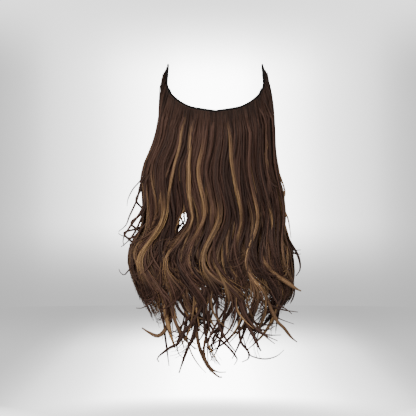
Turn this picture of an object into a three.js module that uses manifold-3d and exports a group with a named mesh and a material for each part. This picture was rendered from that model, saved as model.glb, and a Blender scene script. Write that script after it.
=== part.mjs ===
// A one-piece clip-in hair extension, held in the shape that it takes round the back of a head.
// A sewn band follows the head from temple to temple and rises to a point at each end. Hair is sewn to
// its outer face and hangs in loose waves, and snap clips are sewn to its inner face.
// Millimetres, +Z up. The origin is the middle of the band's inner face, at its top edge. +Y points into
// the head, and the hair faces -Y. A place across the extension is a share u, from -1 at the left end of
// the band to +1 at its right end.

import * as THREE from "three";
import { mergeVertices } from "three/addons/utils/BufferGeometryUtils.js";
import Module from "manifold-3d";

const wasm = await Module();
wasm.setup();

// Head curve that the band follows, seen from above
const HEAD_HALF_WIDTH = 79;
const HEAD_DEPTH = 70;
const BAND_END_ANGLE = THREE.MathUtils.degToRad(100);

// How the band climbs from the nape to the temples. along is the share of the way to a tip, and rise the
// share of TIP_RISE.
const TIP_RISE = 79;
const BAND_RISE = [
  { along: 0.0, rise: 0.0 },
  { along: 0.28, rise: 0.085 },
  { along: 0.42, rise: 0.18 },
  { along: 0.56, rise: 0.31 },
  { along: 0.7, rise: 0.45 },
  { along: 0.84, rise: 0.64 },
  { along: 1.0, rise: 1.0 },
];

// Sewn band and the cord that binds its top edge
const BAND_HEIGHT = 12;
const BAND_THICKNESS = 2.4;
const BINDING_DIAMETER = 2.4;
const BINDING_SIDES = 8;
const LOOP_OUTER_DIAMETER = 5;
const LOOP_WIRE_DIAMETER = 1.4;
const LOOP_SIDES = 5;
const LOOP_SEGMENTS = 12;

// Snap clips
const CLIP_PLACES = [-0.72, -0.37, 0, 0.37, 0.72];
const CLIP_LENGTH = 26;
const CLIP_HEIGHT = 9;
const CLIP_THICKNESS = 1.2;
const CLIP_CORNER_RADIUS = 3;
const CLIP_SPINE = 2.6;
const CLIP_BASE_BAR = 1.6;
const CLIP_SLOTS = 6;
const CLIP_SLOT_WIDTH = 1.3;
const CLIP_TOOTH_WIDTH = 1.2;
const CLIP_SEWING_HOLE_DIAMETER = 1.4;
const CLIP_SEWING_MARGIN = 2.2;
const CLIP_HOLE_SIDES = 6;
const CLIP_TOP_MARGIN = 1;

// Clearances, the size of the slivers that a join drops, the distance at which points are one, and the
// share of the band over which its slope is measured
const SEAT_GAP = 0.3;
const TRESS_GAP = 0.5;
const JOIN_TOLERANCE = 0.05;
const MERGE_DISTANCE = 1e-4;
const SLOPE_STEP = 1e-3;

// Hair wall
const HAIR_DROP = 500;
const HAIR_HALF_WIDTH = 124;
const HAIR_SWAY = 12;
const SPREAD_FULL_DROP = 100;
const ROOT_THICKNESS = 2.6;
const ROOT_TOP_DROP = 1.5;
const ROOT_SETBACK = 0.6;
const LOCKS_UNDER_BAND = 3;
const ROOT_STATIONS = 4;
const WALL_OUTSIDE = 12;
const WALL_INSIDE = 7;
const WALL_FULL_DROP = 45;

// Waves. The whole wall swings sideways and in and out as it falls.
const WAVE_LENGTH = 157;
const WAVE_SIDE = 13;
const WAVE_DEPTH = 6;
const WAVE_RIGHT_Z = -156;
const WAVE_START_DROP = 40;
const WAVE_FULL_DROP = 190;

// The hair's rows of sections. The upper rows fan out between the band's lower edge and the first level
// row, and the rows below that are level.
const UPPER_ROWS = 3;
const FIRST_LEVEL_ROW_DROP = 62;
const ROWS_PER_WAVE = 5;
const LOCK_SIDES = 4;

// How the wall spreads as it falls. level is the share of HAIR_DROP below the tips, spread a share of
// HAIR_HALF_WIDTH, sway a share of HAIR_SWAY and depth a share of HEAD_DEPTH.
const WALL_SHAPE = [
  { level: 0.0, spread: 0.64, sway: 0.1, depth: 1.0 },
  { level: 0.17, spread: 0.65, sway: 0.1, depth: 1.0 },
  { level: 0.25, spread: 0.69, sway: -0.2, depth: 1.0 },
  { level: 0.33, spread: 0.76, sway: -0.65, depth: 1.0 },
  { level: 0.48, spread: 0.83, sway: -0.5, depth: 0.98 },
  { level: 0.6, spread: 0.98, sway: -0.45, depth: 0.94 },
  { level: 0.66, spread: 0.985, sway: -0.4, depth: 0.92 },
  { level: 0.74, spread: 0.88, sway: 0.0, depth: 0.9 },
  { level: 0.82, spread: 0.77, sway: 0.0, depth: 0.87 },
  { level: 1.0, spread: 0.62, sway: 0.0, depth: 0.82 },
];

// Where each tress ends, from left to right, as a share of HAIR_DROP below the tips, and the way that its
// ends turn: -1 to the left, 1 to the right.
const TRESS_ENDS = [
  { end: 0.81, turn: 1 },
  { end: 0.86, turn: -1 },
  { end: 0.89, turn: -1 },
  { end: 0.95, turn: -1 },
  { end: 0.97, turn: 1 },
  { end: 0.93, turn: 1 },
  { end: 0.91, turn: -1 },
  { end: 0.89, turn: 1 },
  { end: 0.85, turn: 1 },
];

// The backing of a tress, which its locks are joined to. Its faces are shares of the wall's
// half-thickness, and it ends above the tress's end by a share of HAIR_DROP.
const BACKING_FACE = 0.35;
const BACKING_SHORT = 0.17;

// The locks of one tress. across is the lock's middle and wide its half-width, as shares of the tress's
// half-width. out runs from -1 at the wall's inner face to 1 at its outer face, thick is a share of
// the wall's half-thickness, and short is the share of HAIR_DROP by which it ends above the tress's end.
const LOCKS = [
  { across: -0.63, wide: 0.35, out: 0.28, thick: 0.72, short: 0.06 },
  { across: 0.01, wide: 0.38, out: 0.3, thick: 0.7, short: 0.0 },
  { across: 0.64, wide: 0.34, out: 0.27, thick: 0.73, short: 0.04 },
  { across: -0.45, wide: 0.52, out: -0.29, thick: 0.71, short: 0.09 },
  { across: 0.47, wide: 0.51, out: -0.27, thick: 0.73, short: 0.02 },
];
const LOCK_TURN = 0.55;
const LOCK_TIP_SHARE = 0.16;
const LOCK_TAPER_FROM = 0.55;
const TURN_FROM = 0.6;

const hairMaterial = new THREE.MeshStandardMaterial({ color: 0x3a2a25, roughness: 0.5 });
const threadMaterial = new THREE.MeshStandardMaterial({ color: 0x0d0b0b, roughness: 0.8 });
const clipMaterial = new THREE.MeshStandardMaterial({ color: 0x161414, roughness: 0.35, metalness: 0.8 });

// The band has its stations where the root strips have theirs.
const bandStations = TRESS_ENDS.length * ROOT_STATIONS;

// A share that eases from 0 at low to 1 at high.
function ease(value, low, high) {
  return THREE.MathUtils.smoothstep(value, low, high);
}

// A smooth curve through a table's rows: each row's slope is that of the line between its neighbours.
function tableValue(rows, key, at, column) {
  const last = rows.length - 1;
  const x = THREE.MathUtils.clamp(at, rows[0][key], rows[last][key]);
  const i = Math.min(Math.max(rows.findIndex((row) => row[key] > x), 1), last) - 1;
  const index = x >= rows[last][key] ? last - 1 : i;
  const slope = (j) => {
    const before = rows[Math.max(j - 1, 0)];
    const after = rows[Math.min(j + 1, last)];
    return (after[column] - before[column]) / (after[key] - before[key]);
  };
  const span = rows[index + 1][key] - rows[index][key];
  const t = (x - rows[index][key]) / span;
  const from = rows[index][column];
  const to = rows[index + 1][column];
  return (
    from * (1 + 2 * t) * (1 - t) ** 2 +
    to * (3 - 2 * t) * t ** 2 +
    span * (slope(index) * t * (1 - t) ** 2 - slope(index + 1) * t ** 2 * (1 - t))
  );
}

// The height of the band's top edge.
function bandTop(u) {
  return TIP_RISE * tableValue(BAND_RISE, "along", Math.abs(u), "rise");
}

// A place on a half-oval seen from above, and the unit vectors along it and out of it.
function ovalFrame(u, halfWidth, depth) {
  const angle = u * BAND_END_ANGLE;
  const along = new THREE.Vector3(halfWidth * Math.cos(angle), depth * Math.sin(angle), 0).normalize();
  return {
    point: new THREE.Vector3(halfWidth * Math.sin(angle), depth * (1 - Math.cos(angle)), 0),
    along,
    outward: new THREE.Vector3(along.y, -along.x, 0),
  };
}

// A point of the band: out is measured outward from its inner face, and drop down from its top edge.
function bandPoint(u, out, drop) {
  const { point, outward } = ovalFrame(u, HEAD_HALF_WIDTH, HEAD_DEPTH);
  return point.addScaledVector(outward, out).setZ(bandTop(u) - drop);
}

// A point of the hair wall at a height z, out from the band's inner face. The wall starts on the band's
// oval and spreads, sways and waves as it falls.
function wallPoint(u, z, out) {
  const level = (TIP_RISE - z) / HAIR_DROP;
  const drop = bandTop(u) - z;
  const freed = ease(drop, BAND_HEIGHT, SPREAD_FULL_DROP);
  const waved = ease(drop, WAVE_START_DROP, WAVE_FULL_DROP);
  const spread = HAIR_HALF_WIDTH * tableValue(WALL_SHAPE, "level", level, "spread");
  const halfWidth = THREE.MathUtils.lerp(HEAD_HALF_WIDTH, spread, freed);
  const depth = HEAD_DEPTH * tableValue(WALL_SHAPE, "level", level, "depth");
  const phase = (2 * Math.PI * (z - WAVE_RIGHT_Z)) / WAVE_LENGTH;
  const { point, along, outward } = ovalFrame(u, halfWidth, depth);
  point.x += freed * HAIR_SWAY * tableValue(WALL_SHAPE, "level", level, "sway");
  point.addScaledVector(along, WAVE_SIDE * waved * Math.cos(phase));
  point.addScaledVector(outward, out + WAVE_DEPTH * waved * Math.sin(phase));
  return point.setZ(z);
}

// The height of a whole row at a place. Row 0 runs under the band, inside the root strips.
function rowHeight(u, row) {
  const start = bandTop(u) - BAND_HEIGHT - LOCKS_UNDER_BAND;
  if (row < UPPER_ROWS) return THREE.MathUtils.lerp(start, -FIRST_LEVEL_ROW_DROP, row / UPPER_ROWS);
  return -FIRST_LEVEL_ROW_DROP - ((row - UPPER_ROWS) * WAVE_LENGTH) / ROWS_PER_WAVE;
}

// The row, with its fraction, at a height below the first level row.
function rowAt(z) {
  return UPPER_ROWS + ((-FIRST_LEVEL_ROW_DROP - z) * ROWS_PER_WAVE) / WAVE_LENGTH;
}

// How far out a share of the wall's half-thickness lies. The wall thickens from the band down.
function wallOut(share, drop) {
  const half = (WALL_OUTSIDE + WALL_INSIDE) / 2;
  const full = ease(drop, 0, WALL_FULL_DROP);
  const least = ROOT_THICKNESS / 2;
  return BAND_THICKNESS + full * (WALL_OUTSIDE - half) + Math.max(full * half, least) * share;
}

// A point of the hair: share runs from -1 at the wall's inner face to 1 at its outer face. Between two
// rows it lies on the straight line from one to the other, so that neighbours stay clear of each other.
function hairPoint(u, row, share) {
  const above = Math.floor(row);
  const ends = [above, above + 1].map((whole) => {
    const z = rowHeight(u, whole);
    return wallPoint(u, z, wallOut(share, bandTop(u) - z));
  });
  return ends[0].lerp(ends[1], row - above);
}

// A closed solid through rings of the same number of points. Each ring is given clockwise, seen along
// the way that the rings run.
function loft(rings) {
  const sides = rings[0].length;
  const positions = rings.flat().flatMap((p) => [p.x, p.y, p.z]);
  const faces = [];
  for (let r = 0; r + 1 < rings.length; r += 1) {
    for (let s = 0; s < sides; s += 1) {
      const a = r * sides + s;
      const b = r * sides + ((s + 1) % sides);
      faces.push([a, b, b + sides], [a, b + sides, a + sides]);
    }
  }
  const lastRing = (rings.length - 1) * sides;
  for (const [a, b, c] of capFaces(rings[0])) {
    faces.push([a, c, b], [lastRing + a, lastRing + b, lastRing + c]);
  }
  const geometry = new THREE.BufferGeometry();
  geometry.setAttribute("position", new THREE.Float32BufferAttribute(positions, 3));
  geometry.setIndex(faces.flat());
  return geometry;
}

// The triangles that close one ring, found on its own plane.
function capFaces(ring) {
  const normal = ring.reduce((sum, p, i) => {
    const next = ring[(i + 1) % ring.length];
    return sum.add(new THREE.Vector3().crossVectors(p, next));
  }, new THREE.Vector3());
  const turn = new THREE.Quaternion().setFromUnitVectors(normal.normalize(), new THREE.Vector3(0, 0, 1));
  const flat = ring.map((p) => p.clone().applyQuaternion(turn)).map((p) => new THREE.Vector2(p.x, p.y));
  return THREE.ShapeUtils.triangulateShape(flat, []);
}

// A geometry as a solid, and a solid as a geometry.
function solidOf(geometry) {
  const bare = geometry.clone();
  bare.deleteAttribute("normal");
  bare.deleteAttribute("uv");
  const merged = mergeVertices(bare, MERGE_DISTANCE);
  return new wasm.Manifold(
    new wasm.Mesh({
      numProp: 3,
      vertProperties: new Float32Array(merged.attributes.position.array),
      triVerts: new Uint32Array(merged.index.array),
    }),
  );
}

function geometryOf(solid) {
  const mesh = solid.getMesh();
  const geometry = new THREE.BufferGeometry();
  geometry.setAttribute("position", new THREE.BufferAttribute(mesh.vertProperties, 3));
  geometry.setIndex(new THREE.BufferAttribute(mesh.triVerts, 1));
  geometry.computeVertexNormals();
  return geometry;
}

// The band's top edge as a curve, lifted square to itself so that the binding clears the band.
class BandEdge extends THREE.Curve {
  getPoint(t, target = new THREE.Vector3()) {
    const u = 2 * t - 1;
    const before = bandPoint(u - SLOPE_STEP, BAND_THICKNESS / 2, 0);
    const after = bandPoint(u + SLOPE_STEP, BAND_THICKNESS / 2, 0);
    const { outward } = ovalFrame(u, HEAD_HALF_WIDTH, HEAD_DEPTH);
    const lift = new THREE.Vector3().crossVectors(outward, after.sub(before)).normalize();
    target.copy(bandPoint(u, BAND_THICKNESS / 2, 0));
    return target.addScaledVector(lift, BINDING_DIAMETER / 2 + SEAT_GAP);
  }
}

function circleCorners(diameter, sides) {
  return Array.from({ length: sides }, (_, i) => {
    const angle = (2 * Math.PI * i) / sides;
    return new THREE.Vector2((diameter / 2) * Math.cos(angle), (diameter / 2) * Math.sin(angle));
  });
}

function weftBand() {
  const rings = [];
  for (let i = 0; i <= bandStations; i += 1) {
    const u = (2 * i) / bandStations - 1;
    rings.push([
      bandPoint(u, 0, 0),
      bandPoint(u, BAND_THICKNESS, 0),
      bandPoint(u, BAND_THICKNESS, BAND_HEIGHT),
      bandPoint(u, 0, BAND_HEIGHT),
    ]);
  }
  return new THREE.Mesh(loft(rings), threadMaterial);
}

function edgeBinding() {
  const section = new THREE.Shape(circleCorners(BINDING_DIAMETER, BINDING_SIDES));
  const geometry = new THREE.ExtrudeGeometry(section, {
    extrudePath: new BandEdge(),
    steps: bandStations,
    bevelEnabled: false,
  });
  return new THREE.Mesh(geometry, threadMaterial);
}

// A small thread eye past the end of the binding. side is -1 for the left end and 1 for the right.
function tipLoop(side) {
  const edge = new BandEdge();
  const at = (1 + side) / 2;
  const onward = edge.getTangent(at).multiplyScalar(side);
  const { outward } = ovalFrame(side, HEAD_HALF_WIDTH, HEAD_DEPTH);
  const upward = new THREE.Vector3().crossVectors(outward, onward).normalize();
  const ringRadius = (LOOP_OUTER_DIAMETER - LOOP_WIRE_DIAMETER) / 2;
  const ring = new THREE.TorusGeometry(ringRadius, LOOP_WIRE_DIAMETER / 2, LOOP_SIDES, LOOP_SEGMENTS);
  const mesh = new THREE.Mesh(ring, threadMaterial);
  mesh.matrixAutoUpdate = false;
  const centre = edge.getPoint(at).addScaledVector(onward, LOOP_OUTER_DIAMETER / 2 + SEAT_GAP);
  mesh.matrix.makeBasis(onward, upward, new THREE.Vector3().crossVectors(onward, upward)).setPosition(centre);
  return mesh;
}

// The flat outline of a clip: a round-cornered plate with a sewing hole at each end. x runs along the
// clip and y up it, from 0 at its top edge.
function clipShape() {
  const half = CLIP_LENGTH / 2;
  const r = CLIP_CORNER_RADIUS;
  const outline = new THREE.Shape();
  outline.moveTo(half - r, 0);
  outline.lineTo(-half + r, 0);
  outline.quadraticCurveTo(-half, 0, -half, -r);
  outline.lineTo(-half, r - CLIP_HEIGHT);
  outline.quadraticCurveTo(-half, -CLIP_HEIGHT, -half + r, -CLIP_HEIGHT);
  outline.lineTo(half - r, -CLIP_HEIGHT);
  outline.quadraticCurveTo(half, -CLIP_HEIGHT, half, r - CLIP_HEIGHT);
  outline.lineTo(half, -r);
  outline.quadraticCurveTo(half, 0, half - r, 0);
  for (const side of [-1, 1]) {
    const hole = new THREE.Path();
    const middle = new THREE.Vector2(side * (half - CLIP_SEWING_MARGIN), -CLIP_HEIGHT / 2);
    hole.setFromPoints(circleCorners(CLIP_SEWING_HOLE_DIAMETER, CLIP_HOLE_SIDES).map((p) => p.add(middle)));
    outline.holes.push(hole);
  }
  return outline;
}

// The comb of a clip: a plate with slots between its teeth.
function clipPlate() {
  const plate = solidOf(
    new THREE.ExtrudeGeometry(clipShape(), { depth: CLIP_THICKNESS, curveSegments: 2, bevelEnabled: false }),
  );
  const slotLength = CLIP_HEIGHT - CLIP_SPINE - CLIP_BASE_BAR;
  const pitch = CLIP_SLOT_WIDTH + CLIP_TOOTH_WIDTH;
  let comb = plate;
  for (let i = 0; i < CLIP_SLOTS; i += 1) {
    const slot = new THREE.BoxGeometry(CLIP_SLOT_WIDTH, slotLength, 3 * CLIP_THICKNESS);
    slot.translate((i - (CLIP_SLOTS - 1) / 2) * pitch, -CLIP_SPINE - slotLength / 2, 0);
    comb = comb.subtract(solidOf(slot));
  }
  return geometryOf(comb);
}

// The share of the band that a length seen from above covers at a place.
function shareOf(length, u) {
  const dx = HEAD_HALF_WIDTH * Math.cos(u * BAND_END_ANGLE);
  const dy = HEAD_DEPTH * Math.sin(u * BAND_END_ANGLE);
  return length / (BAND_END_ANGLE * Math.hypot(dx, dy));
}

// A clip lies flat inside the band, turned with the slope of the band's top edge. The band bows away
// behind it, so its corners are what comes nearest to the band.
function snapClip(place) {
  const { along, outward } = ovalFrame(place, HEAD_HALF_WIDTH, HEAD_DEPTH);
  const half = shareOf(CLIP_LENGTH / 2, place);
  const climb = new THREE.Vector3().subVectors(bandPoint(place + half, 0, 0), bandPoint(place - half, 0, 0));
  const slope = Math.atan2(climb.z, climb.dot(along));
  const lengthwise = along.clone().multiplyScalar(Math.cos(slope)).setZ(Math.sin(slope));
  const upward = new THREE.Vector3().crossVectors(outward, lengthwise).normalize();
  const reach = (CLIP_LENGTH / 2) * Math.cos(slope) + CLIP_HEIGHT * Math.abs(Math.sin(slope));
  const bow = [-1, 1].map((side) => {
    const corner = bandPoint(place + side * shareOf(reach, place), 0, 0);
    return bandPoint(place, 0, 0).sub(corner).dot(outward);
  });
  const start = bandPoint(place, -SEAT_GAP - Math.max(...bow), 0)
    .addScaledVector(upward, -CLIP_TOP_MARGIN)
    .addScaledVector(outward, -CLIP_THICKNESS);
  const mesh = new THREE.Mesh(clipPlate(), clipMaterial);
  mesh.matrixAutoUpdate = false;
  mesh.matrix.makeBasis(lengthwise, upward, outward).setPosition(start);
  return mesh;
}

// The rows of a piece of hair that ends at a height.
function rowsDownTo(bottom) {
  const last = rowAt(bottom);
  return [...Array(Math.ceil(last)).keys(), last];
}

// The strip in which the hair of one tress is sewn: it lies outside the band and closes under it.
function rootStrip(low, high) {
  const rings = [];
  const outer = BAND_THICKNESS + SEAT_GAP + ROOT_THICKNESS;
  const underBand = BAND_HEIGHT + SEAT_GAP;
  for (let i = 0; i <= ROOT_STATIONS; i += 1) {
    const u = THREE.MathUtils.lerp(low, high, i / ROOT_STATIONS);
    rings.push([
      bandPoint(u, outer, ROOT_TOP_DROP),
      bandPoint(u, outer, underBand),
      hairPoint(u, 1, BACKING_FACE),
      hairPoint(u, 1, -BACKING_FACE),
      bandPoint(u, ROOT_SETBACK, underBand),
      bandPoint(u, BAND_THICKNESS + SEAT_GAP, underBand),
      bandPoint(u, BAND_THICKNESS + SEAT_GAP, ROOT_TOP_DROP),
    ]);
  }
  return loft(rings);
}

// The plain backing of a tress.
function tressBacking(tress, middle, halfSpan) {
  const bottom = TIP_RISE - HAIR_DROP * (tress.end - BACKING_SHORT);
  const rings = rowsDownTo(bottom).map((row) => [
    hairPoint(middle + halfSpan, row, BACKING_FACE),
    hairPoint(middle, row, BACKING_FACE),
    hairPoint(middle - halfSpan, row, BACKING_FACE),
    hairPoint(middle - halfSpan, row, -BACKING_FACE),
    hairPoint(middle, row, -BACKING_FACE),
    hairPoint(middle + halfSpan, row, -BACKING_FACE),
  ]);
  return loft(rings);
}

// One tapering lock of a tress.
function hairLock(lock, tress, middle, halfSpan) {
  const rows = rowsDownTo(TIP_RISE - HAIR_DROP * (tress.end - lock.short));
  const rings = rows.map((row) => {
    const fallen = row / rows[rows.length - 1];
    const taper = ease(fallen, LOCK_TAPER_FROM, 1);
    const width = lock.wide * THREE.MathUtils.lerp(1, LOCK_TIP_SHARE, taper);
    const thick = lock.thick * THREE.MathUtils.lerp(1, LOCK_TIP_SHARE, taper);
    const turned = tress.turn * LOCK_TURN * ease(fallen, TURN_FROM, 1) ** 2;
    const across = THREE.MathUtils.clamp(lock.across + turned, width - 1, 1 - width);
    return Array.from({ length: LOCK_SIDES }, (_, i) => {
      const angle = (2 * Math.PI * i) / LOCK_SIDES;
      const u = middle + (across + width * Math.cos(angle)) * halfSpan;
      return hairPoint(u, row, lock.out + thick * Math.sin(angle));
    });
  });
  return loft(rings);
}

// One solid out of several that overlap, without the slivers that a join leaves and with the pockets
// inside it filled.
function fused(pieces) {
  const joined = pieces.reduce((body, piece) => body.add(piece)).simplify(JOIN_TOLERANCE);
  const shells = joined.decompose().filter((shell) => shell.volume() > 0);
  return shells.reduce((body, shell) => body.add(shell));
}

function hairTress(index) {
  const span = 2 / TRESS_ENDS.length;
  const middle = -1 + (index + 0.5) * span;
  const halfSpan = span / 2 - TRESS_GAP / 2 / (HEAD_HALF_WIDTH * BAND_END_ANGLE);
  const tress = TRESS_ENDS[index];
  const strip = rootStrip(middle - halfSpan, middle + halfSpan);
  const locks = LOCKS.map((lock) => hairLock(lock, tress, middle, halfSpan));
  const pieces = [strip, tressBacking(tress, middle, halfSpan), ...locks].map(solidOf);
  return new THREE.Mesh(geometryOf(fused(pieces)), hairMaterial);
}

function named(mesh, name) {
  mesh.name = name;
  return mesh;
}

const extension = new THREE.Group();
extension.add(named(weftBand(), "weft_band"));
extension.add(named(edgeBinding(), "edge_binding"));
extension.add(named(tipLoop(-1), "tip_loop_left"), named(tipLoop(1), "tip_loop_right"));
CLIP_PLACES.forEach((place, i) => extension.add(named(snapClip(place), `snap_clip_${i + 1}`)));
TRESS_ENDS.forEach((_, i) => extension.add(named(hairTress(i), `tress_${i + 1}`)));

export default extension;
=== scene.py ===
"""Looks of a one-piece clip-in hair extension with long, wavy, highlighted hair.

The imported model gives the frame. A sewn band follows the back of a head from temple to temple and rises
to a point at each end. Hair is sewn to its outer face, and snap clips to its inner face. The origin is the
middle of the band's inner face at its top edge. +Z is up, +Y points into the head, and the hair faces -Y.
A place across the extension is a share u, from -1 at the left end of the band to +1 at its right end.
All lengths are in metres.
"""

import logging
import math
from dataclasses import dataclass, field
from enum import Enum

import bpy
import numpy as np
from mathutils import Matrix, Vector


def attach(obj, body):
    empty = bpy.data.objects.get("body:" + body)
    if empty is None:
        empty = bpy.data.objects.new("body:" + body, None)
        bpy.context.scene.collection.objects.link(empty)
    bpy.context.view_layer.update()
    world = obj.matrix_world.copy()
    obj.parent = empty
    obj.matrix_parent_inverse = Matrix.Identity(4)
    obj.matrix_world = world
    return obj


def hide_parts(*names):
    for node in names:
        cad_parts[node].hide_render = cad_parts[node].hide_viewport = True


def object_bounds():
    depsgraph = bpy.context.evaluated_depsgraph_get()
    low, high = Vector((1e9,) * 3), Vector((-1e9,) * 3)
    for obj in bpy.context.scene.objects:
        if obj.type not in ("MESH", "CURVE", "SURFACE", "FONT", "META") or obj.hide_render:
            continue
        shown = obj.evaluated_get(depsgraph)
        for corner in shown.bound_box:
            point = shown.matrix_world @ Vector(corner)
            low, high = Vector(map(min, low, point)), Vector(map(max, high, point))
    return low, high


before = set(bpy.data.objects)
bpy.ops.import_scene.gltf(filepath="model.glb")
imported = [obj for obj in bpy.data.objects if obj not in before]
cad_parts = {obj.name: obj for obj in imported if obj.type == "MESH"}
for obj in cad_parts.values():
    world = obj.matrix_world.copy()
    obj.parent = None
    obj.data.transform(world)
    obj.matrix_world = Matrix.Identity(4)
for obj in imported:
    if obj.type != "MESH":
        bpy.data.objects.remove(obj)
CAD_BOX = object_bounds()

ONE_BODY = "root"
MM = 0.001
# A step across the extension, small enough for a slope.
SMALL_SHARE = 0.001

log = logging.getLogger("hair_extension")

Array = np.ndarray
Material = bpy.types.Material
NodeTree = bpy.types.NodeTree
Piece = bpy.types.Object
Socket = bpy.types.NodeSocket
Pair = tuple[float, float]
Triple = tuple[float, float, float]
Colour = tuple[float, float, float, float]


class Layer(Enum):
    """Where a lock lies in the thickness of the hair: its share from the inner face to the outer one."""

    SURFACE = 0.92
    UPPER = 0.55
    MIDDLE = 0.1
    LINING = -0.75


class Slot(Enum):
    """Names of two material slots, for the hair and for the binding."""

    HAIR = "hair"
    BINDING = "binding"


def ease(value: Array, low: float, high: float) -> Array:
    """Share that eases from 0 at low to 1 at high: 3x^2 - 2x^3 of the clamped way between them."""
    x = np.clip((value - low) / (high - low), 0.0, 1.0)
    return x * x * (3.0 - 2.0 * x)


def mixed(low: Array, high: Array, share: Array) -> Array:
    """The value a share of the way from low to high."""
    return low + (high - low) * share


def unit(vectors: Array) -> Array:
    """Vectors at length one, along their last axis."""
    return vectors / np.maximum(np.linalg.norm(vectors, axis=-1, keepdims=True), 1e-12)


def knot_curve(knots: Array, values: Array, at: Array) -> Array:
    """Smooth curves through rows of values at shared knots.

    Between two knots the curve is the cubic that meets both values, and its slope at a knot is that of the
    line between the knot's neighbours.

    Args:
        knots: Increasing places, one for each column of values.
        values: One row of values for each curve.
        at: Where to read the curves, one row for each curve.

    Returns:
        The curves' values, in the shape of at.
    """
    last = len(knots) - 1
    before = np.maximum(np.arange(last + 1) - 1, 0)
    after = np.minimum(np.arange(last + 1) + 1, last)
    slopes = (values[:, after] - values[:, before]) / (knots[after] - knots[before])
    x = np.clip(at, knots[0], knots[last])
    i = np.clip(np.searchsorted(knots, x, side="right") - 1, 0, last - 1)
    span = knots[i + 1] - knots[i]
    t = (x - knots[i]) / span
    start, end = np.take_along_axis(values, i, 1), np.take_along_axis(values, i + 1, 1)
    leave, arrive = np.take_along_axis(slopes, i, 1), np.take_along_axis(slopes, i + 1, 1)
    back = 1.0 - t
    line = start * (1.0 + 2.0 * t) * back**2 + end * (3.0 - 2.0 * t) * t**2
    return line + span * (leave * t * back**2 - arrive * t**2 * back)


def table_curve(rows: Array, column: int, at: Array) -> Array:
    """One column of a table read as a smooth curve over its first, increasing column."""
    flat = np.asarray(at, float).reshape(1, -1)
    return knot_curve(rows[:, 0], rows[None, :, column], flat).reshape(np.shape(at))


def srgb(red: int, green: int, blue: int) -> Colour:
    """Linear colour of a screen colour given in 0 to 255."""
    parts = [c / 255 for c in (red, green, blue)]
    return (*[c / 12.92 if c <= 0.04045 else ((c + 0.055) / 1.055) ** 2.4 for c in parts], 1.0)


def grey(tone: float) -> Colour:
    """Colour with three parts alike, of a grey given in 0 to 255."""
    return (tone / 255,) * 3 + (1.0,)


def new_object(name: str, data: bpy.types.ID) -> Piece:
    """A new object in the scene.

    Args:
        name: Its name.
        data: Its mesh, light or camera.

    Returns:
        The object, at the origin.
    """
    made = bpy.data.objects.new(name, data)
    bpy.context.scene.collection.objects.link(made)
    return made


class Nodes:
    """A small hand for laying out a material's or a group's nodes."""

    def __init__(self, tree: NodeTree) -> None:
        """Keeps the tree."""
        self.tree = tree

    def add(self, kind: str, inputs: dict | None = None, **settings: object) -> bpy.types.Node:
        """A new node.

        Args:
            kind: The node's type.
            inputs: What its inputs are fed, by their names or numbers.
            settings: Its properties.

        Returns:
            The node.
        """
        node = self.tree.nodes.new(kind)
        for name, value in settings.items():
            setattr(node, name, value)
        self.feed(node, inputs or {})
        return node

    def feed(self, node: bpy.types.Node, inputs: dict) -> None:
        """Gives inputs of a node their values.

        Args:
            node: The node.
            inputs: A number, a colour or an output for each input, by its name or number.
        """
        for key, value in inputs.items():
            if isinstance(value, Socket):
                self.tree.links.new(value, node.inputs[key])
            else:
                node.inputs[key].default_value = value

    def mark(self, name: str, kind: str = "Fac") -> Socket:
        """What the mesh carries under a name, as a number or as a Vector."""
        return self.add("ShaderNodeAttribute", attribute_name=name).outputs[kind]

    def place(self) -> Socket:
        """The object's own coordinates."""
        return self.add("ShaderNodeTexCoord").outputs["Object"]

    def maths(self, operation: str, first: object, second: object) -> Socket:
        """Result of a sum on two numbers or outputs."""
        return self.add("ShaderNodeMath", {0: first, 1: second}, operation=operation).outputs[0]

    def line(self, value: Socket, slope: float, start: float) -> Socket:
        """A value times a slope, plus a start."""
        return self.maths("ADD", self.maths("MULTIPLY", value, slope), start)

    def span(self, value: Socket, low: float, high: float, most: float) -> Socket:
        """A number that runs smoothly from 0, where the value is low, to most, where it is high."""
        inputs = {"Value": value, "From Min": low, "From Max": high, "To Min": 0.0, "To Max": most}
        return self.add("ShaderNodeMapRange", inputs, interpolation_type="SMOOTHSTEP").outputs["Result"]

    def blend(self, share: object, low: object, high: object, mode: str = "MIX") -> Socket:
        """Colour that is low where the share is 0 and high where it is 1."""
        node = self.add("ShaderNodeMix", data_type="RGBA", blend_type=mode)
        self.feed(node, {0: share, 6: low, 7: high})
        return node.outputs[2]

    def noise(self, vector: Socket, scale: object, detail: float) -> Socket:
        """Soft noise from 0 to 1, read at a vector."""
        inputs = {"Vector": vector, "Scale": scale, "Detail": detail}
        return self.add("ShaderNodeTexNoise", inputs).outputs["Fac"]

    def bump(self, height: Socket, strength: float, depth: float) -> Socket:
        """Normal of a surface with a relief."""
        inputs = {"Strength": strength, "Distance": depth, "Height": height}
        return self.add("ShaderNodeBump", inputs).outputs[0]


def new_surface(name: str) -> tuple[Material, Nodes, bpy.types.Node]:
    """A new material.

    Args:
        name: Its name.

    Returns:
        The material, the hand for its nodes and its shader.
    """
    made = bpy.data.materials.new(name)
    made.use_nodes = True
    return made, Nodes(made.node_tree), made.node_tree.nodes["Principled BSDF"]


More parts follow.
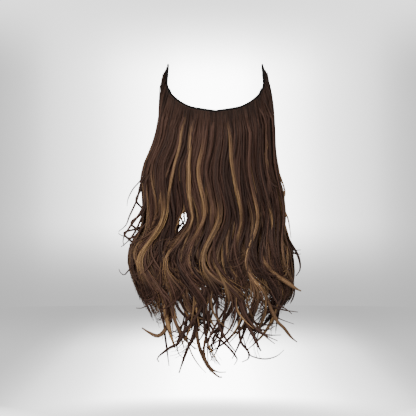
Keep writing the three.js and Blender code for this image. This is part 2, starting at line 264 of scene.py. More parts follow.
@dataclass
class Studio:
    """The camera, soft light, and a pale floor that runs up into a backdrop, both a glow of painted light and
    shade.

    Attributes:
        distance: From the camera to the origin, along Y.
        aim_x: The camera's sideways place.
        aim_z: The camera's height.
        lens: Focal length in millimetres.
        sensor: The sensor's width in millimetres.
        frame_size: Side of the photograph's frame in pixels.
        floor_z: The floor's height.
        wall_reach: Radius of the round backdrop.
        wall_top: Height of its top.
        wall_sides: How many flat strips it is made of.
        wall_tones: Greys of the wall's painted light by the turn from straight behind, as a share of 45
            degrees.
        floor_tones: Greys of the floor's painted light by the distance aside in metres.
        corner_shade_tone: Grey of the painted shade where the wall meets the floor.
        corner_shade_share: Share that this grey has there.
        corner_shade_rise: Height over which it fades up the wall.
        corner_shade_reach: Distances before the wall at which it starts and is whole on the floor.
        near_tone: Grey of the painted dimming of the wall high up and of the floor close by.
        near_heights: Heights at which it starts and is whole on the wall.
        near_reach: Distances from the middle at which it starts and is whole on the floor.
        screen_middle: Tone whose glow is one.
        screen_slope: Slope there of the power of two that a glow is.
        screen_bend: How fast that slope grows.
        lamps: Name, place, side and watts of each lamp.
        lamp_aim: The place that they face.
        world_colour: Colour of the light from all round.
        world_strength: Its strength.
    """

    distance: float = 2.0
    aim_x: float = -12 * MM
    aim_z: float = -154 * MM
    lens: float = 108.2
    sensor: float = 36.0
    frame_size: float = 416.0
    floor_z: float = -534 * MM
    wall_reach: float = 2.9
    wall_top: float = 3.0
    wall_sides: int = 120
    wall_tones: tuple[Pair, ...] = (
        (0.0, 251), (0.07, 247), (0.18, 231), (0.287, 213), (0.367, 194), (0.5, 192), (1.0, 192),
    )
    floor_tones: tuple[Pair, ...] = (
        (0.0, 250), (0.1, 246), (0.25, 231), (0.39, 213), (0.5, 195), (0.7, 192), (1.0, 192),
    )
    corner_shade_tone: float = 177.0
    corner_shade_share: float = 0.82
    corner_shade_rise: float = 0.345
    corner_shade_reach: Pair = (1.6, 0.15)
    near_tone: float = 217.0
    near_heights: Pair = (0.33, 0.68)
    near_reach: Pair = (0.56, 0.32)
    screen_middle: float = 0.773
    screen_slope: float = 10.65
    screen_bend: float = 27.8
    lamps: tuple[tuple[str, Triple, float, float], ...] = (
        ("key_light", (-1.1, -1.9, 0.9), 1.0, 46.0),
        ("fill_light", (1.3, -1.6, 0.2), 1.2, 20.0),
        ("top_light", (0.0, -0.3, 1.4), 0.8, 8.0),
        ("rear_light", (0.4, 2.3, 0.9), 1.4, 55.0),
    )
    lamp_aim: Triple = (0.0, 0.0, -0.16)
    world_colour: tuple[float, ...] = (1.0, 0.98, 0.96, 1.0)
    world_strength: float = 0.55

    def through_frame(self, seen: Array, depth: Array) -> tuple[Array, Array]:
        """Where places of the photograph's frame lie on upright planes.

        A place's distance from the frame's middle, over the focal length in pixels, times the distance from
        the camera to the plane, is its distance from the camera's axis.

        Args:
            seen: Column and row of each place.
            depth: Each plane's place along Y.

        Returns:
            Sideways places and heights.
        """
        scale = (self.distance + depth) / (self.lens / self.sensor * self.frame_size)
        middle = self.frame_size / 2
        return self.aim_x + (seen[:, 0] - middle) * scale, self.aim_z - (seen[:, 1] - middle) * scale

    def camera(self) -> None:
        """Places the camera level, in front of the hair."""
        data = bpy.data.cameras.new("camera")
        data.lens, data.sensor_width = self.lens, self.sensor
        data.clip_start, data.clip_end = 0.01, 50.0
        camera = new_object("camera", data)
        camera.location = (self.aim_x, -self.distance, self.aim_z)
        camera.rotation_euler = (math.pi / 2, 0.0, 0.0)
        bpy.context.scene.camera = camera

    def painted_glow(self, name: str, upright: bool) -> Material:
        """Painted glow: brightest straight behind the hair, dimmer to the sides, darker where wall meets
        floor.

        A tone is a screen grey from 0 to 1. Its glow is two to the power d times the sum of the slope and the
        bend times d, where d is the tone less the middle one. The screen shows that glow as that grey.

        Args:
            name: The material's name.
            upright: Whether it hangs as the wall rather than lies as the floor.

        Returns:
            The material.
        """
        made = bpy.data.materials.new(name)
        made.use_nodes = True
        made.node_tree.nodes.clear()
        nodes = Nodes(made.node_tree)
        x, y, z = nodes.add("ShaderNodeSeparateXYZ", {0: nodes.place()}).outputs
        # far paints shade where wall meets floor; near paints dimming high on the wall and close by on the
        # floor.
        if upright:
            quarter = math.pi / 4
            turned = nodes.maths("PINGPONG", nodes.maths("ARCTAN2", x, y), quarter)
            aside = nodes.maths("DIVIDE", turned, quarter)
            far = nodes.span(z, self.floor_z + self.corner_shade_rise, self.floor_z, self.corner_shade_share)
            near = nodes.span(z, *self.near_heights, 1.0)
        else:
            aside = nodes.maths("MINIMUM", *(nodes.maths("ABSOLUTE", way, 0.0) for way in (x, y)))
            square = nodes.maths("ADD", *(nodes.maths("MULTIPLY", way, way) for way in (x, y)))
            reach = nodes.maths("SQRT", square, 0.0)
            start, whole = (self.wall_reach - before for before in self.corner_shade_reach)
            far = nodes.span(reach, start, whole, self.corner_shade_share)
            near = nodes.span(reach, *self.near_reach, 1.0)
        ramp = nodes.add("ShaderNodeValToRGB", {"Fac": aside})
        ramp.color_ramp.interpolation = "CARDINAL"
        ramp.color_ramp.elements.remove(ramp.color_ramp.elements[1])
        for number, (where, tone) in enumerate(self.wall_tones if upright else self.floor_tones):
            stop = ramp.color_ramp.elements[0] if number == 0 else ramp.color_ramp.elements.new(where)
            stop.position, stop.color = where, grey(tone)
        tone = nodes.blend(far, ramp.outputs["Color"], grey(self.corner_shade_tone))
        tone = nodes.blend(near, tone, grey(self.near_tone))
        above = nodes.maths("SUBTRACT", tone, self.screen_middle)
        power = nodes.maths("MULTIPLY", above, nodes.line(above, self.screen_bend, self.screen_slope))
        glow = nodes.add("ShaderNodeEmission", {"Strength": nodes.maths("POWER", 2.0, power)})
        nodes.add("ShaderNodeOutputMaterial", {"Surface": glow.outputs[0]})
        return made

    def backdrop(self) -> None:
        """A floor, and a round wall well behind every place that the hair is looked at from, both a glow of
        painted light and shade. Neither lights the hair: the lamps and the world do."""
        angle = np.linspace(0.0, 2 * math.pi, self.wall_sides, endpoint=False)
        ring = self.wall_reach * np.stack([np.sin(angle), np.cos(angle), np.zeros_like(angle)], -1)
        number = np.arange(self.wall_sides)
        onward = np.roll(number, -1)
        low, high = ring + (0.0, 0.0, self.floor_z), ring + (0.0, 0.0, self.wall_top)
        upper = len(number)
        strips = np.stack([number, onward, onward + upper, number + upper], -1)
        sheets = {"backdrop": (np.concatenate([low, high]), strips), "floor": (low, number[None, ::-1])}
        for name, (points, faces) in sheets.items():
            mesh = bpy.data.meshes.new(name)
            mesh.from_pydata(points.tolist(), [], faces.tolist())
            mesh.polygons.foreach_set("use_smooth", np.ones(len(faces), bool))
            mesh.materials.append(self.painted_glow(f"pale_{name}", name == "backdrop"))
            piece = new_object(name, mesh)
            piece.visible_diffuse = piece.visible_glossy = piece.visible_shadow = False

    def lamp(self, name: str, place: Triple, size: float, watts: float) -> None:
        """A square soft light that faces the hair.

        Args:
            name: Its name.
            place: Where it stands.
            size: Its side.
            watts: Its power.
        """
        data = bpy.data.lights.new(name, "AREA")
        data.size, data.energy = size, watts
        lamp = new_object(name, data)
        lamp.location = place
        lamp.visible_camera = False
        towards = Vector(self.lamp_aim) - Vector(place)
        lamp.rotation_euler = towards.to_track_quat("-Z", "Y").to_euler()

    def build(self) -> None:
        """Sets the whole studio up."""
        self.camera()
        self.backdrop()
        for lamp in self.lamps:
            self.lamp(*lamp)
        world = bpy.data.worlds.new("soft_world")
        world.use_nodes = True
        background = world.node_tree.nodes["Background"]
        background.inputs["Color"].default_value = self.world_colour
        background.inputs["Strength"].default_value = self.world_strength
        bpy.context.scene.world = world


@dataclass(frozen=True)
class BandLine:
    """The line that the sewn band follows round the head.

    Attributes:
        half_width: Half the head's width.
        depth: How far round the head the band reaches, front to back.
        end_angle: Turn from the middle of the band to an end.
        tip_rise: How far an end stands above the middle.
        height: The band's height.
        thickness: The band's thickness.
        rise: Share of the rise against the share of the way to an end.
    """

    half_width: float = 79 * MM
    depth: float = 70 * MM
    end_angle: float = math.radians(100)
    tip_rise: float = 79 * MM
    height: float = 12 * MM
    thickness: float = 2.4 * MM
    rise: tuple[Pair, ...] = (
        (0.0, 0.0), (0.28, 0.085), (0.42, 0.18), (0.56, 0.31), (0.7, 0.45), (0.84, 0.64), (1.0, 1.0),
    )

    def top(self, u: Array) -> Array:
        """Height of the band's top edge: the rise table read at the distance from the middle."""
        return self.tip_rise * table_curve(np.array(self.rise), 1, np.abs(u))

    def oval(self, u: Array, half_width: Array, depth: Array) -> tuple[Array, Array, Array]:
        """Place on a half-oval seen from above: (a sin angle, b (1 - cos angle)).

        Args:
            u: Share of the way from the middle to an end.
            half_width: The oval's half-width a.
            depth: The oval's depth b.

        Returns:
            The points, and the unit vectors along the oval and out of it.
        """
        angle = u * self.end_angle
        cos, sin, none = np.cos(angle), np.sin(angle), np.zeros_like(angle)
        point = np.stack([half_width * sin, depth * (1.0 - cos), none], -1)
        along = unit(np.stack([half_width * cos, depth * sin, none], -1))
        outward = np.stack([along[..., 1], -along[..., 0], none], -1)
        return point, along, outward

    def inner_face(self, u: Array) -> tuple[Array, Array, Array]:
        """The band's own oval: its points, and the unit vectors along it and out of it."""
        return self.oval(u, np.full_like(u, self.half_width), np.full_like(u, self.depth))

    def point(self, u: Array, out: Array, drop: Array) -> Array:
        """Point of the band.

        Args:
            u: Shares across.
            out: Distance out from its inner face.
            drop: Distance down from its top edge.

        Returns:
            The points.
        """
        place, _, outward = self.inner_face(u)
        place = place + outward * np.asarray(out)[..., None]
        place[..., 2] = self.top(u) - drop
        return place

    def edge(self, u: Array, lift: float) -> Array:
        """Line along the middle of the band's top edge, lifted square to it within the band's face.

        Args:
            u: Shares across.
            lift: How far it is lifted.

        Returns:
            The points.
        """
        middle = np.full_like(u, self.thickness / 2)
        _, _, outward = self.inner_face(u)
        ahead = self.point(u + SMALL_SHARE, middle, 0.0) - self.point(u - SMALL_SHARE, middle, 0.0)
        return self.point(u, middle, 0.0) + lift * unit(np.cross(outward, ahead))


@dataclass(frozen=True)
class Parting:
    """A narrow gap between locks that shows the light behind, or a place where locks are drawn together.

    Attributes:
        x: Sideways place of its middle.
        z: Height of its middle.
        half_width: Half-width at the middle, below zero where locks are drawn together.
        half_height: Half its height.
        lean: Sideways shift for each step up.
        reach: How far to either side locks are pushed.
        edge: Over how far aside the push grows to its whole size.
    """

    x: float
    z: float
    half_width: float
    half_height: float
    lean: float
    reach: float = 18 * MM
    edge: float = 0.5 * MM

    def opened(self, points: Array) -> Array:
        """Points pushed aside: by the half-width in the middle of the gap, less towards its ends along a
        circle's curve, and less with the distance aside.

        Args:
            points: Points in any grid.

        Returns:
            The moved points.
        """
        rise = (points[..., 2] - self.z) / self.half_height
        off = points[..., 0] - self.x - self.lean * (points[..., 2] - self.z)
        push = self.half_width * np.sqrt(np.clip(1.0 - rise**2, 0.0, None))
        push = push * np.clip(1.0 - np.abs(off) / self.reach, 0.0, 1.0)
        points[..., 0] += push * np.tanh(off / self.edge)
        return points


@dataclass(frozen=True)
class HairWall:
    """The hanging hair as one wall that spreads, sways and waves as it falls from the band.

    Attributes:
        band: The line of the band.
        length: Height of the whole hair below the band's ends.
        half_width: Half-width at the widest place.
        sway: Sideways sway.
        spread_full: Drop at which the wall has left the band's oval.
        outside: How far the outer face stands out from the band's outer face.
        inside: How far the inner face lies behind it.
        full_drop: Drop at which the wall has its whole thickness.
        raised: Shares across, to either side, at which the band's raised ends start and are whole.
        opens: Drops between which the layers open.
        raised_opens: The same at the raised ends.
        inner_opens: The same for the inner layers at the raised ends.
        ends_fullness: Rows of drop, and share of the thickness near the band's left and right end.
        partings: Gaps between locks, and places where locks are drawn together.
        seen_shares: Range of the shares that face the front, and how many are tried.
        root_half: Half-thickness at the band.
        wave_length: Height of one wave.
        wave_side: Sideways size of the waves.
        wave_depth: Size of the waves in and out.
        wave_right_z: Height at which a wave swings furthest right.
        wave_start: Drop at which the waves begin.
        wave_full: Drop at which they have their whole size.
        wave_sizes: Share of that size for the upper hair and for the lower.
        wave_change: Drops between which it changes.
        shape: Rows of level, spread, sway and depth.
    """

    band: BandLine = field(default_factory=BandLine)
    length: float = 500 * MM
    half_width: float = 124 * MM
    sway: float = 12 * MM
    spread_full: float = 100 * MM
    outside: float = 12 * MM
    inside: float = 7 * MM
    full_drop: float = 45 * MM
    raised: Pair = (0.65, 0.9)
    opens: Pair = (3 * MM, 30 * MM)
    raised_opens: Pair = (-3 * MM, 5 * MM)
    inner_opens: Pair = (30 * MM, 120 * MM)
    ends_fullness: tuple[Triple, ...] = (
        (0.0, 0.12, 0.14), (0.004, 0.48, 0.48), (0.015, 0.7, 0.78), (0.028, 0.74, 0.96), (0.045, 0.76, 1.06),
        (0.08, 0.86, 1.14), (0.11, 0.98, 1.12), (0.16, 1.0, 1.0), (0.2, 1.0, 1.0),
    )
    partings: tuple[Parting, ...] = (
        Parting(-53 * MM, -176 * MM, 6.4 * MM, 16 * MM, 0.35),
        Parting(119 * MM, -150 * MM, 2.6 * MM, 16 * MM, -0.15, 8 * MM),
        Parting(-135 * MM, -160 * MM, 9 * MM, 48 * MM, 0.0, 30 * MM),
        Parting(-0.8 * MM, -136 * MM, -2.4 * MM, 34 * MM, -0.225, 18 * MM, 2.5 * MM),
        Parting(-32.4 * MM, -227 * MM, -1.5 * MM, 16 * MM, 0.4, 12 * MM, 1.8 * MM),
    )
    seen_shares: tuple[float, float, int] = (-0.88, 0.88, 177)
    root_half: float = 1.3 * MM
    wave_length: float = 157 * MM
    wave_side: float = 13 * MM
    wave_depth: float = 6 * MM
    wave_right_z: float = -156 * MM
    wave_start: float = 40 * MM
    wave_full: float = 190 * MM
    wave_sizes: Pair = (0.42, 1.1)
    wave_change: Pair = (0.13, 0.27)
    shape: tuple[tuple[float, float, float, float], ...] = (
        (0.0, 0.64, 0.1, 1.0), (0.17, 0.65, 0.1, 1.0), (0.25, 0.69, -0.2, 1.0), (0.33, 0.76, -0.65, 1.0),
        (0.48, 0.83, -0.5, 0.98), (0.6, 0.945, -0.72, 0.94), (0.66, 0.93, -0.68, 0.92),
        (0.74, 0.88, 0.0, 0.9), (0.82, 0.77, 0.0, 0.87), (1.0, 0.62, 0.0, 0.82),
    )

    def out(self, u: Array, share: Array, drop: Array) -> Array:
        """Distance out of a share of the thickness.

        The wall is thin at the band and has its whole thickness at full_drop. Near the raised ends it is
        full sooner.

        Args:
            u: Share across.
            share: Share of the thickness.
            drop: Drop below the band's top edge.

        Returns:
            The distance from the band's inner face.
        """
        half = (self.outside + self.inside) / 2
        left, right = (table_curve(np.array(self.ends_fullness), column, drop) for column in (1, 2))
        at_ends = np.where(u < 0, left, right)
        full = mixed(ease(drop, 0.0, self.full_drop), at_ends, self.ends(u))
        middle = self.band.thickness + full * (self.outside - half)
        return middle + np.maximum(full * half, self.root_half) * share

    def ends(self, u: Array) -> Array:
        """How far a share across belongs to the band's raised ends, from 0 to 1."""
        return ease(np.abs(u), *self.raised)

    def share_at(self, u: Array, layer: Array, drop: Array) -> Array:
        """Share of the thickness of a layer, which opens below the band. The inner layers open late near the
        raised ends, so that nothing hangs inside the band there.

        Args:
            u: Share across.
            layer: The layer's share where it is open.
            drop: Drop below the band's top edge.

        Returns:
            The share.
        """
        opens = mixed(ease(drop, *self.opens), ease(drop, *self.raised_opens), self.ends(u))
        late = np.where(layer < 0, mixed(1.0, ease(drop, *self.inner_opens), self.ends(u)), 1.0)
        return layer * opens * late

    def place(
        self, u: Array, z: Array, share: Array, phase: Array, swing: Array
    ) -> tuple[Array, Array, Array]:
        """Point of the wall at a height.

        The point lies on an oval that widens with the drop. A sideways cosine and an in-and-out sine of the
        height are added to it, and both grow with the drop.

        Args:
            u: Share across the extension.
            z: Height.
            share: Share of the thickness, from -1 at the inner face to 1 at the outer one.
            phase: Added to the wave's angle.
            swing: Factor on the wave's size.

        Returns:
            The points, and the unit vectors along the wall and out of it.
        """
        shape = np.array(self.shape)
        level = (self.band.tip_rise - z) / self.length
        drop = self.band.top(u) - z
        freed = ease(drop, self.band.height, self.spread_full)
        waved = ease(drop, self.wave_start, self.wave_full)
        waved = waved * mixed(*self.wave_sizes, ease(drop, *self.wave_change)) * swing
        spread = self.half_width * table_curve(shape, 1, level)
        width = mixed(self.band.half_width, spread, freed)
        depth = self.band.depth * table_curve(shape, 3, level)
        point, along, outward = self.band.oval(u, width, depth)
        angle = 2.0 * math.pi * (z - self.wave_right_z) / self.wave_length + phase
        point[..., 0] += freed * self.sway * table_curve(shape, 2, level)
        point = point + along * (self.wave_side * waved * np.cos(angle))[..., None]
        stands = self.out(u, share, drop) + self.wave_depth * waved * np.sin(angle)
        point = point + outward * stands[..., None]
        point[..., 2] = z
        return point, along, outward

    def across_at(self, x: Array, z: Array, share: float) -> Array:
        """Share across of points seen from the front: the wall's x is worked out for many shares at each
        height, and the wanted x is looked up between them.

        Args:
            x: Sideways places.
            z: Heights.
            share: Share of the thickness.

        Returns:
            The shares across, within the part that faces the front.
        """
        shares = np.linspace(*self.seen_shares)
        grid_u, grid_z = np.meshgrid(shares, z)
        still = np.zeros_like(grid_u)
        points, _, _ = self.place(grid_u, grid_z, still + share, still, still + 1.0)
        return np.array([np.interp(a, row, shares) for a, row in zip(x, points[..., 0])])


# Drops below the band's top edge at which a strand's drift has a value.
KNOT_DROPS = np.arange(11) * 50 * MM
# Rows at which a strand is tried against the room.
ROOM_ROWS = np.linspace(0.0, 1.0, 24)


@dataclass(frozen=True)
class Room:
    """The room that strands keep within.

    Attributes:
        edges: Rows of height, left edge and right edge of the hanging hair, in millimetres.
        slack: How far past those edges a strand may reach.
        grown: Share of the CAD box's sides that is added to each side.
        margin: Length that is added to each side as well.
    """

    edges: tuple[Triple, ...] = (
        (-420, -60, 70), (-368, -82, 98), (-329, -103, 109), (-303, -121, 113), (-277, -132, 121),
        (-262, -137, 119), (-238, -142, 115), (-200, -138, 114), (-150, -134, 116),
    )
    slack: float = 5 * MM
    grown: float = 0.025
    margin: float = 8 * MM

    def corners(self) -> Array:
        """Lowest and highest corner: the CAD box, and a little more on each side."""
        low, high = (np.array(corner) for corner in CAD_BOX)
        margin = self.grown * (high - low) + self.margin
        return np.stack([low - margin, high + margin])

    def leaves(self, points: Array) -> Array:
        """Which strands have a point outside the corners, or past the edges at its height.

        Args:
            points: Points of strands by rows.

        Returns:
            True or false for each strand.
        """
        low, high = self.corners()
        levels, left, right = np.array(self.edges).T * MM
        z = points[..., 2]
        past = points[..., 0] < np.interp(z, levels, left) - self.slack
        past |= points[..., 0] > np.interp(z, levels, right) + self.slack
        past &= z < levels[-1]
        return np.any(past, axis=1) | np.any((points < low) | (points > high), axis=(1, 2))


@dataclass
class Strands:
    """Numbers that lay many strands, one entry for each. Rows of drift hold one value for each knot.

    A lock is a bunch of wisps, and a wisp is a bunch of strands. A wisp has its place in the lock's section,
    and a strand has its place in the wisp's section.

    Attributes:
        root: Share across at the root.
        drift: Change of the share across, at each knot drop below the band's top edge.
        root_drop: How far below the band's top edge the strand starts.
        fall: How far it falls in all.
        layer: Share of the hair's thickness once it has left the band.
        lock_place: Sideways and outward place of the wisp in its lock, each from -1 to 1.
        lock_half: Half-width and half-thickness of the lock.
        lock_root: Half-width of the lock where it is sewn.
        wisp_place: Sideways and outward place of the strand in its wisp, each from -1 to 1.
        wisp_half: Half-width and half-thickness of the wisp.
        wisp_root: Half-width of the wisp where it is sewn.
        phase: Added to the wave's angle.
        swing: Factor on the wave's size.
        curl: Turn of the end, in radians, to the right where it is positive.
        curl_from: Share of the fall at which the end begins to turn.
        curl_tilt: Turn of the curl's axis out of the wall.
        frizz: Size of the strand's own small waves.
        frizz_turns: How many of them it has.
        frizz_phase: Their starting angle.
        opened: Shares of the fall at which a section has its whole width and its whole thickness.
        sewn_half: Half-thickness of a lock where it is sewn. A wisp's is half of it.
        lock_taper: Share of the fall from which a lock narrows, and how much it narrows.
        wisp_taper: The same for a wisp.
        twist: Turn of the sections over the whole fall, in radians, from twist_phase on.
        twist_from: Share of the fall at which they begin to turn.
        twist_phase: Phase at which they turn fully. Below it they turn less, and at 0 not at all.
        frizz_grows: Shares of the fall between which the small waves grow.
        frizz_ratio: Outward small waves for each sideways one.
        curl_power: How late a curl is tightest.
        curl_ease: What is left of a curl each time that it leaves the room.
        curl_tries: How many times that is tried.
    """

    root: Array
    drift: Array
    root_drop: Array
    fall: Array
    layer: Array
    lock_place: Array
    lock_half: Array
    lock_root: Array
    wisp_place: Array
    wisp_half: Array
    wisp_root: Array
    phase: Array
    swing: Array
    curl: Array
    curl_from: Array
    curl_tilt: Array
    frizz: Array
    frizz_turns: Array
    frizz_phase: Array
    opened: Pair = (0.22, 0.11)
    sewn_half: float = 0.6 * MM
    lock_taper: Pair = (0.55, 0.58)
    wisp_taper: Pair = (0.86, 0.82)
    twist: float = 1.2
    twist_from: float = 0.2
    twist_phase: float = 0.3
    frizz_grows: Pair = (0.08, 0.7)
    frizz_ratio: float = 1.3
    curl_power: float = 1.4
    curl_ease: float = 0.66
    curl_tries: int = 7

    def sections(self, t: Array) -> tuple[Array, Array]:
        """Half-sizes of the locks and of the wisps along their fall. Both are flat at the root, and thicken
        sooner than they widen. A lock then draws together, and a wisp narrows to a point.

        Args:
            t: Share of the fall, one row.

        Returns:
            The locks' and the wisps' half-width and half-thickness, in grids of strands by rows by two.
        """
        opened = np.stack([ease(t, 0.0, whole) for whole in self.opened], -1)
        flat = np.full(len(self.root), self.sewn_half)
        sections = []
        for root, half, thin, (start, less) in (
            (self.lock_root, self.lock_half, flat, self.lock_taper),
            (self.wisp_root, self.wisp_half, 0.5 * flat, self.wisp_taper),
        ):
            sewn = np.stack([root, thin], -1)[:, None]
            sections.append(mixed(sewn, half[:, None], opened) * (1.0 - less * ease(t, start, 1.0)[:, None]))
        return sections[0], sections[1]

    def settle(self, wall: HairWall, room: Room) -> None:
        """Eases the curls of strands that would leave the room: a strand with a point outside it has its curl
        reduced, a few times over.

        Args:
            wall: The hair wall.
            room: The room.
        """
        for _ in range(self.curl_tries):
            points, _ = self.paths(wall, ROOM_ROWS)
            self.curl = np.where(room.leaves(points), self.curl_ease * self.curl, self.curl)

    def paths(self, wall: HairWall, t: Array) -> tuple[Array, Array]:
        """Where the strands run.

        A strand follows the wall at its share across, which drifts, and lies in the sections of its lock and
        its wisp, which slowly turn, each way by the sign of the phase. Its small waves are sines that grow
        with the fall. From curl_from on, each step of the path is turned about the curl's axis by an angle
        that grows to curl, and the steps are summed again.

        Args:
            wall: The hair wall.
            t: Share of the fall, one row.

        Returns:
            Points and curl axes, each in a grid of strands by rows.
        """
        drop = self.root_drop[:, None] + self.fall[:, None] * t
        z = wall.band.top(self.root)[:, None] - drop
        u = self.root[:, None] + knot_curve(KNOT_DROPS, self.drift, drop)
        share = wall.share_at(u, self.layer[:, None], drop)
        points, along, outward = wall.place(u, z, share, self.phase[:, None], self.swing[:, None])
        lock, wisp = self.sections(t)
        turned = np.clip(self.phase[:, None] / self.twist_phase, -1.0, 1.0)
        turn = self.twist * ease(t, self.twist_from, 1.0) * turned
        cos, sin = np.cos(turn), np.sin(turn)
        angle = 2 * math.pi * self.frizz_turns[:, None] * t + self.frizz_phase[:, None]
        small = self.frizz[:, None] * ease(t, *self.frizz_grows)
        side, front = small * np.sin(angle), small * np.cos(self.frizz_ratio * angle)
        for place, half in ((self.lock_place, lock), (self.wisp_place, wisp)):
            side = side + half[..., 0] * (place[:, :1] * cos - place[:, 1:] * sin)
            front = front + half[..., 1] * (place[:, :1] * sin + place[:, 1:] * cos)
        points = points + along * side[..., None] + outward * front[..., None]
        tilt = self.curl_tilt[:, None, None]
        axis = unit(outward * np.cos(tilt) + along * np.sin(tilt))
        late = np.clip((t - self.curl_from[:, None]) / (1.0 - self.curl_from[:, None]), 0.0, 1.0)
        bend = (self.curl[:, None] * late**self.curl_power)[:, 1:, None]
        steps, hinge = np.diff(points, axis=1), axis[:, 1:]
        held = np.sum(steps * hinge, -1, keepdims=True) * hinge
        turned = (steps - held) * np.cos(bend) + np.cross(hinge, steps) * np.sin(bend) + held
        curled = np.concatenate([points[:, :1], points[:, :1] + np.cumsum(turned, axis=1)], 1)
        for gap in wall.partings:
            curled = gap.opened(curled)
        return curled, axis


def fall_rows(upper: int, middle: int, lower: int) -> Array:
    """Shares of the fall for rows in its first quarter, from there to seven tenths, and in the rest."""
    parts = [np.linspace(0, 0.25, upper), np.linspace(0.25, 0.7, middle), np.linspace(0.7, 1, lower)]
    return np.concatenate([parts[0][:-1], parts[1][:-1], parts[2]])


def scatter_in_disc(rng: np.random.Generator, count: int) -> Array:
    """Places spread evenly in a disc of radius one: a random angle, at the root of a random share."""
    angle, reach = rng.uniform(0, 2 * math.pi, count), np.sqrt(rng.uniform(0.02, 1.0, count))
    return np.stack([reach * np.cos(angle), reach * np.sin(angle)], -1)


@dataclass
class Grid:
    """One mesh's arrays: its points, its faces of a fixed number of corners each, and what they carry.

    Attributes:
        points: Points, one row each.
        faces: Lists of faces, each an array of corners by row.
        corners: For each list of faces, the map place of each corner.
        marks: Named numbers or vectors carried by the points.
    """

    points: Array
    faces: list[Array]
    corners: list[Array]
    marks: dict[str, Array]

    def unmarked(self) -> "Grid":
        """The same arrays with no marks."""
        return Grid(self.points, self.faces, self.corners, {})


# Where a tube lies in its map cell, as shares of the cell: its strip's left edge, width, foot and height,
# and its caps' half-width and half-height and the heights of their middles.
STRIP_LEFT, STRIP_WIDE, STRIP_LOW, STRIP_HIGH = 0.15, 0.7, 0.03, 0.94
CAP_WIDE, CAP_HIGH, LOW_CAP, TOP_CAP = 0.3, 0.009, 0.013, 0.987


def swept_tubes(
    paths: Array, fronts: Array, front_half: Array, side_half: Array, sides: int, cells: Array
) -> Grid:
    """Closed tubes along many paths at once.

    A ring stands square to its path at each row. Its corner at angle a lies at front cos a plus side sin a,
    where front is the given vector made square to the path, and side is the path's direction crossed with
    it. Flat caps close both ends. On the map each tube is a strip in its own cell, with its caps beside it.

    Args:
        paths: Points of tubes by rows.
        fronts: Vectors that front leans to, in the same grid.
        front_half: The ring's half-size along front, in the grid.
        side_half: Its half-size along side, in the grid.
        sides: Corners of a ring.
        cells: Map cell of each tube: left, bottom, width and height.

    Returns:
        The mesh's arrays, with marks ring (the corner's cosine and sine), row and tube.
    """
    count, rows = paths.shape[:2]
    ahead = unit(np.gradient(paths, axis=1))
    front = unit(fronts - ahead * np.sum(fronts * ahead, -1, keepdims=True))
    side = np.cross(ahead, front)
    angle = 2 * math.pi * np.arange(sides) / sides
    ring = np.stack([np.cos(angle), np.sin(angle)], -1)
    points = (
        paths[:, :, None]
        + front[:, :, None] * (front_half[..., None] * ring[:, 0])[..., None]
        + side[:, :, None] * (side_half[..., None] * ring[:, 1])[..., None]
    )
    number = np.arange(count * rows * sides).reshape(count, rows, sides)
    onward = np.roll(number, -1, axis=2)
    walls = np.stack([number[:, :-1], onward[:, :-1], onward[:, 1:], number[:, 1:]], -1).reshape(-1, 4)
    caps = np.concatenate([number[:, 0, ::-1], number[:, -1]])
    left, bottom, wide, high = (cells[:, i, None, None] for i in range(4))
    corner = np.arange(sides)
    row = np.arange(rows)[None, :, None] / (rows - 1)
    low_u = left + wide * (STRIP_LEFT + STRIP_WIDE * corner / sides)
    high_u = left + wide * (STRIP_LEFT + STRIP_WIDE * (corner + 1) / sides)
    v = bottom + high * (STRIP_LOW + STRIP_HIGH * row)
    low_u, high_u, v = (np.broadcast_to(a, (count, rows, sides)) for a in (low_u, high_u, v))
    below, above = np.s_[:, :-1], np.s_[:, 1:]
    around = ((low_u, below), (high_u, below), (high_u, above), (low_u, above))
    strip = np.stack([np.stack([u[part], v[part]], -1) for u, part in around], -2).reshape(-1, 4, 2)
    middle = (cells[:, 0] + cells[:, 2] / 2)[:, None]
    cap_u = middle + CAP_WIDE * cells[:, 2, None] * ring[:, 0]
    cap_v = cells[:, 1, None] + cells[:, 3, None] * (LOW_CAP + CAP_HIGH * ring[:, 1])
    end_v = cells[:, 1, None] + cells[:, 3, None] * (TOP_CAP + CAP_HIGH * ring[:, 1])
    cap_map = np.concatenate([np.stack([cap_u, cap_v], -1)[:, ::-1], np.stack([cap_u, end_v], -1)])
    marks = {
        "ring": np.broadcast_to(ring, (count, rows, sides, 2)).reshape(-1, 2),
        "row": np.broadcast_to(row, (count, rows, sides)).reshape(-1),
        "tube": np.broadcast_to(np.arange(count)[:, None, None], (count, rows, sides)).reshape(-1),
    }
    return Grid(points.reshape(-1, 3), [walls, caps], [strip, cap_map], marks)


def joined(grids: list[Grid]) -> Grid:
    """Several meshes as one: the corners' numbers are moved on by the points that come before."""
    starts = np.cumsum([0] + [len(g.points) for g in grids[:-1]])
    return Grid(
        np.concatenate([g.points for g in grids]),
        [face + start for g, start in zip(grids, starts) for face in g.faces],
        [corner for g in grids for corner in g.corners],
        {name: np.concatenate([g.marks[name] for g in grids]) for name in grids[0].marks},
    )


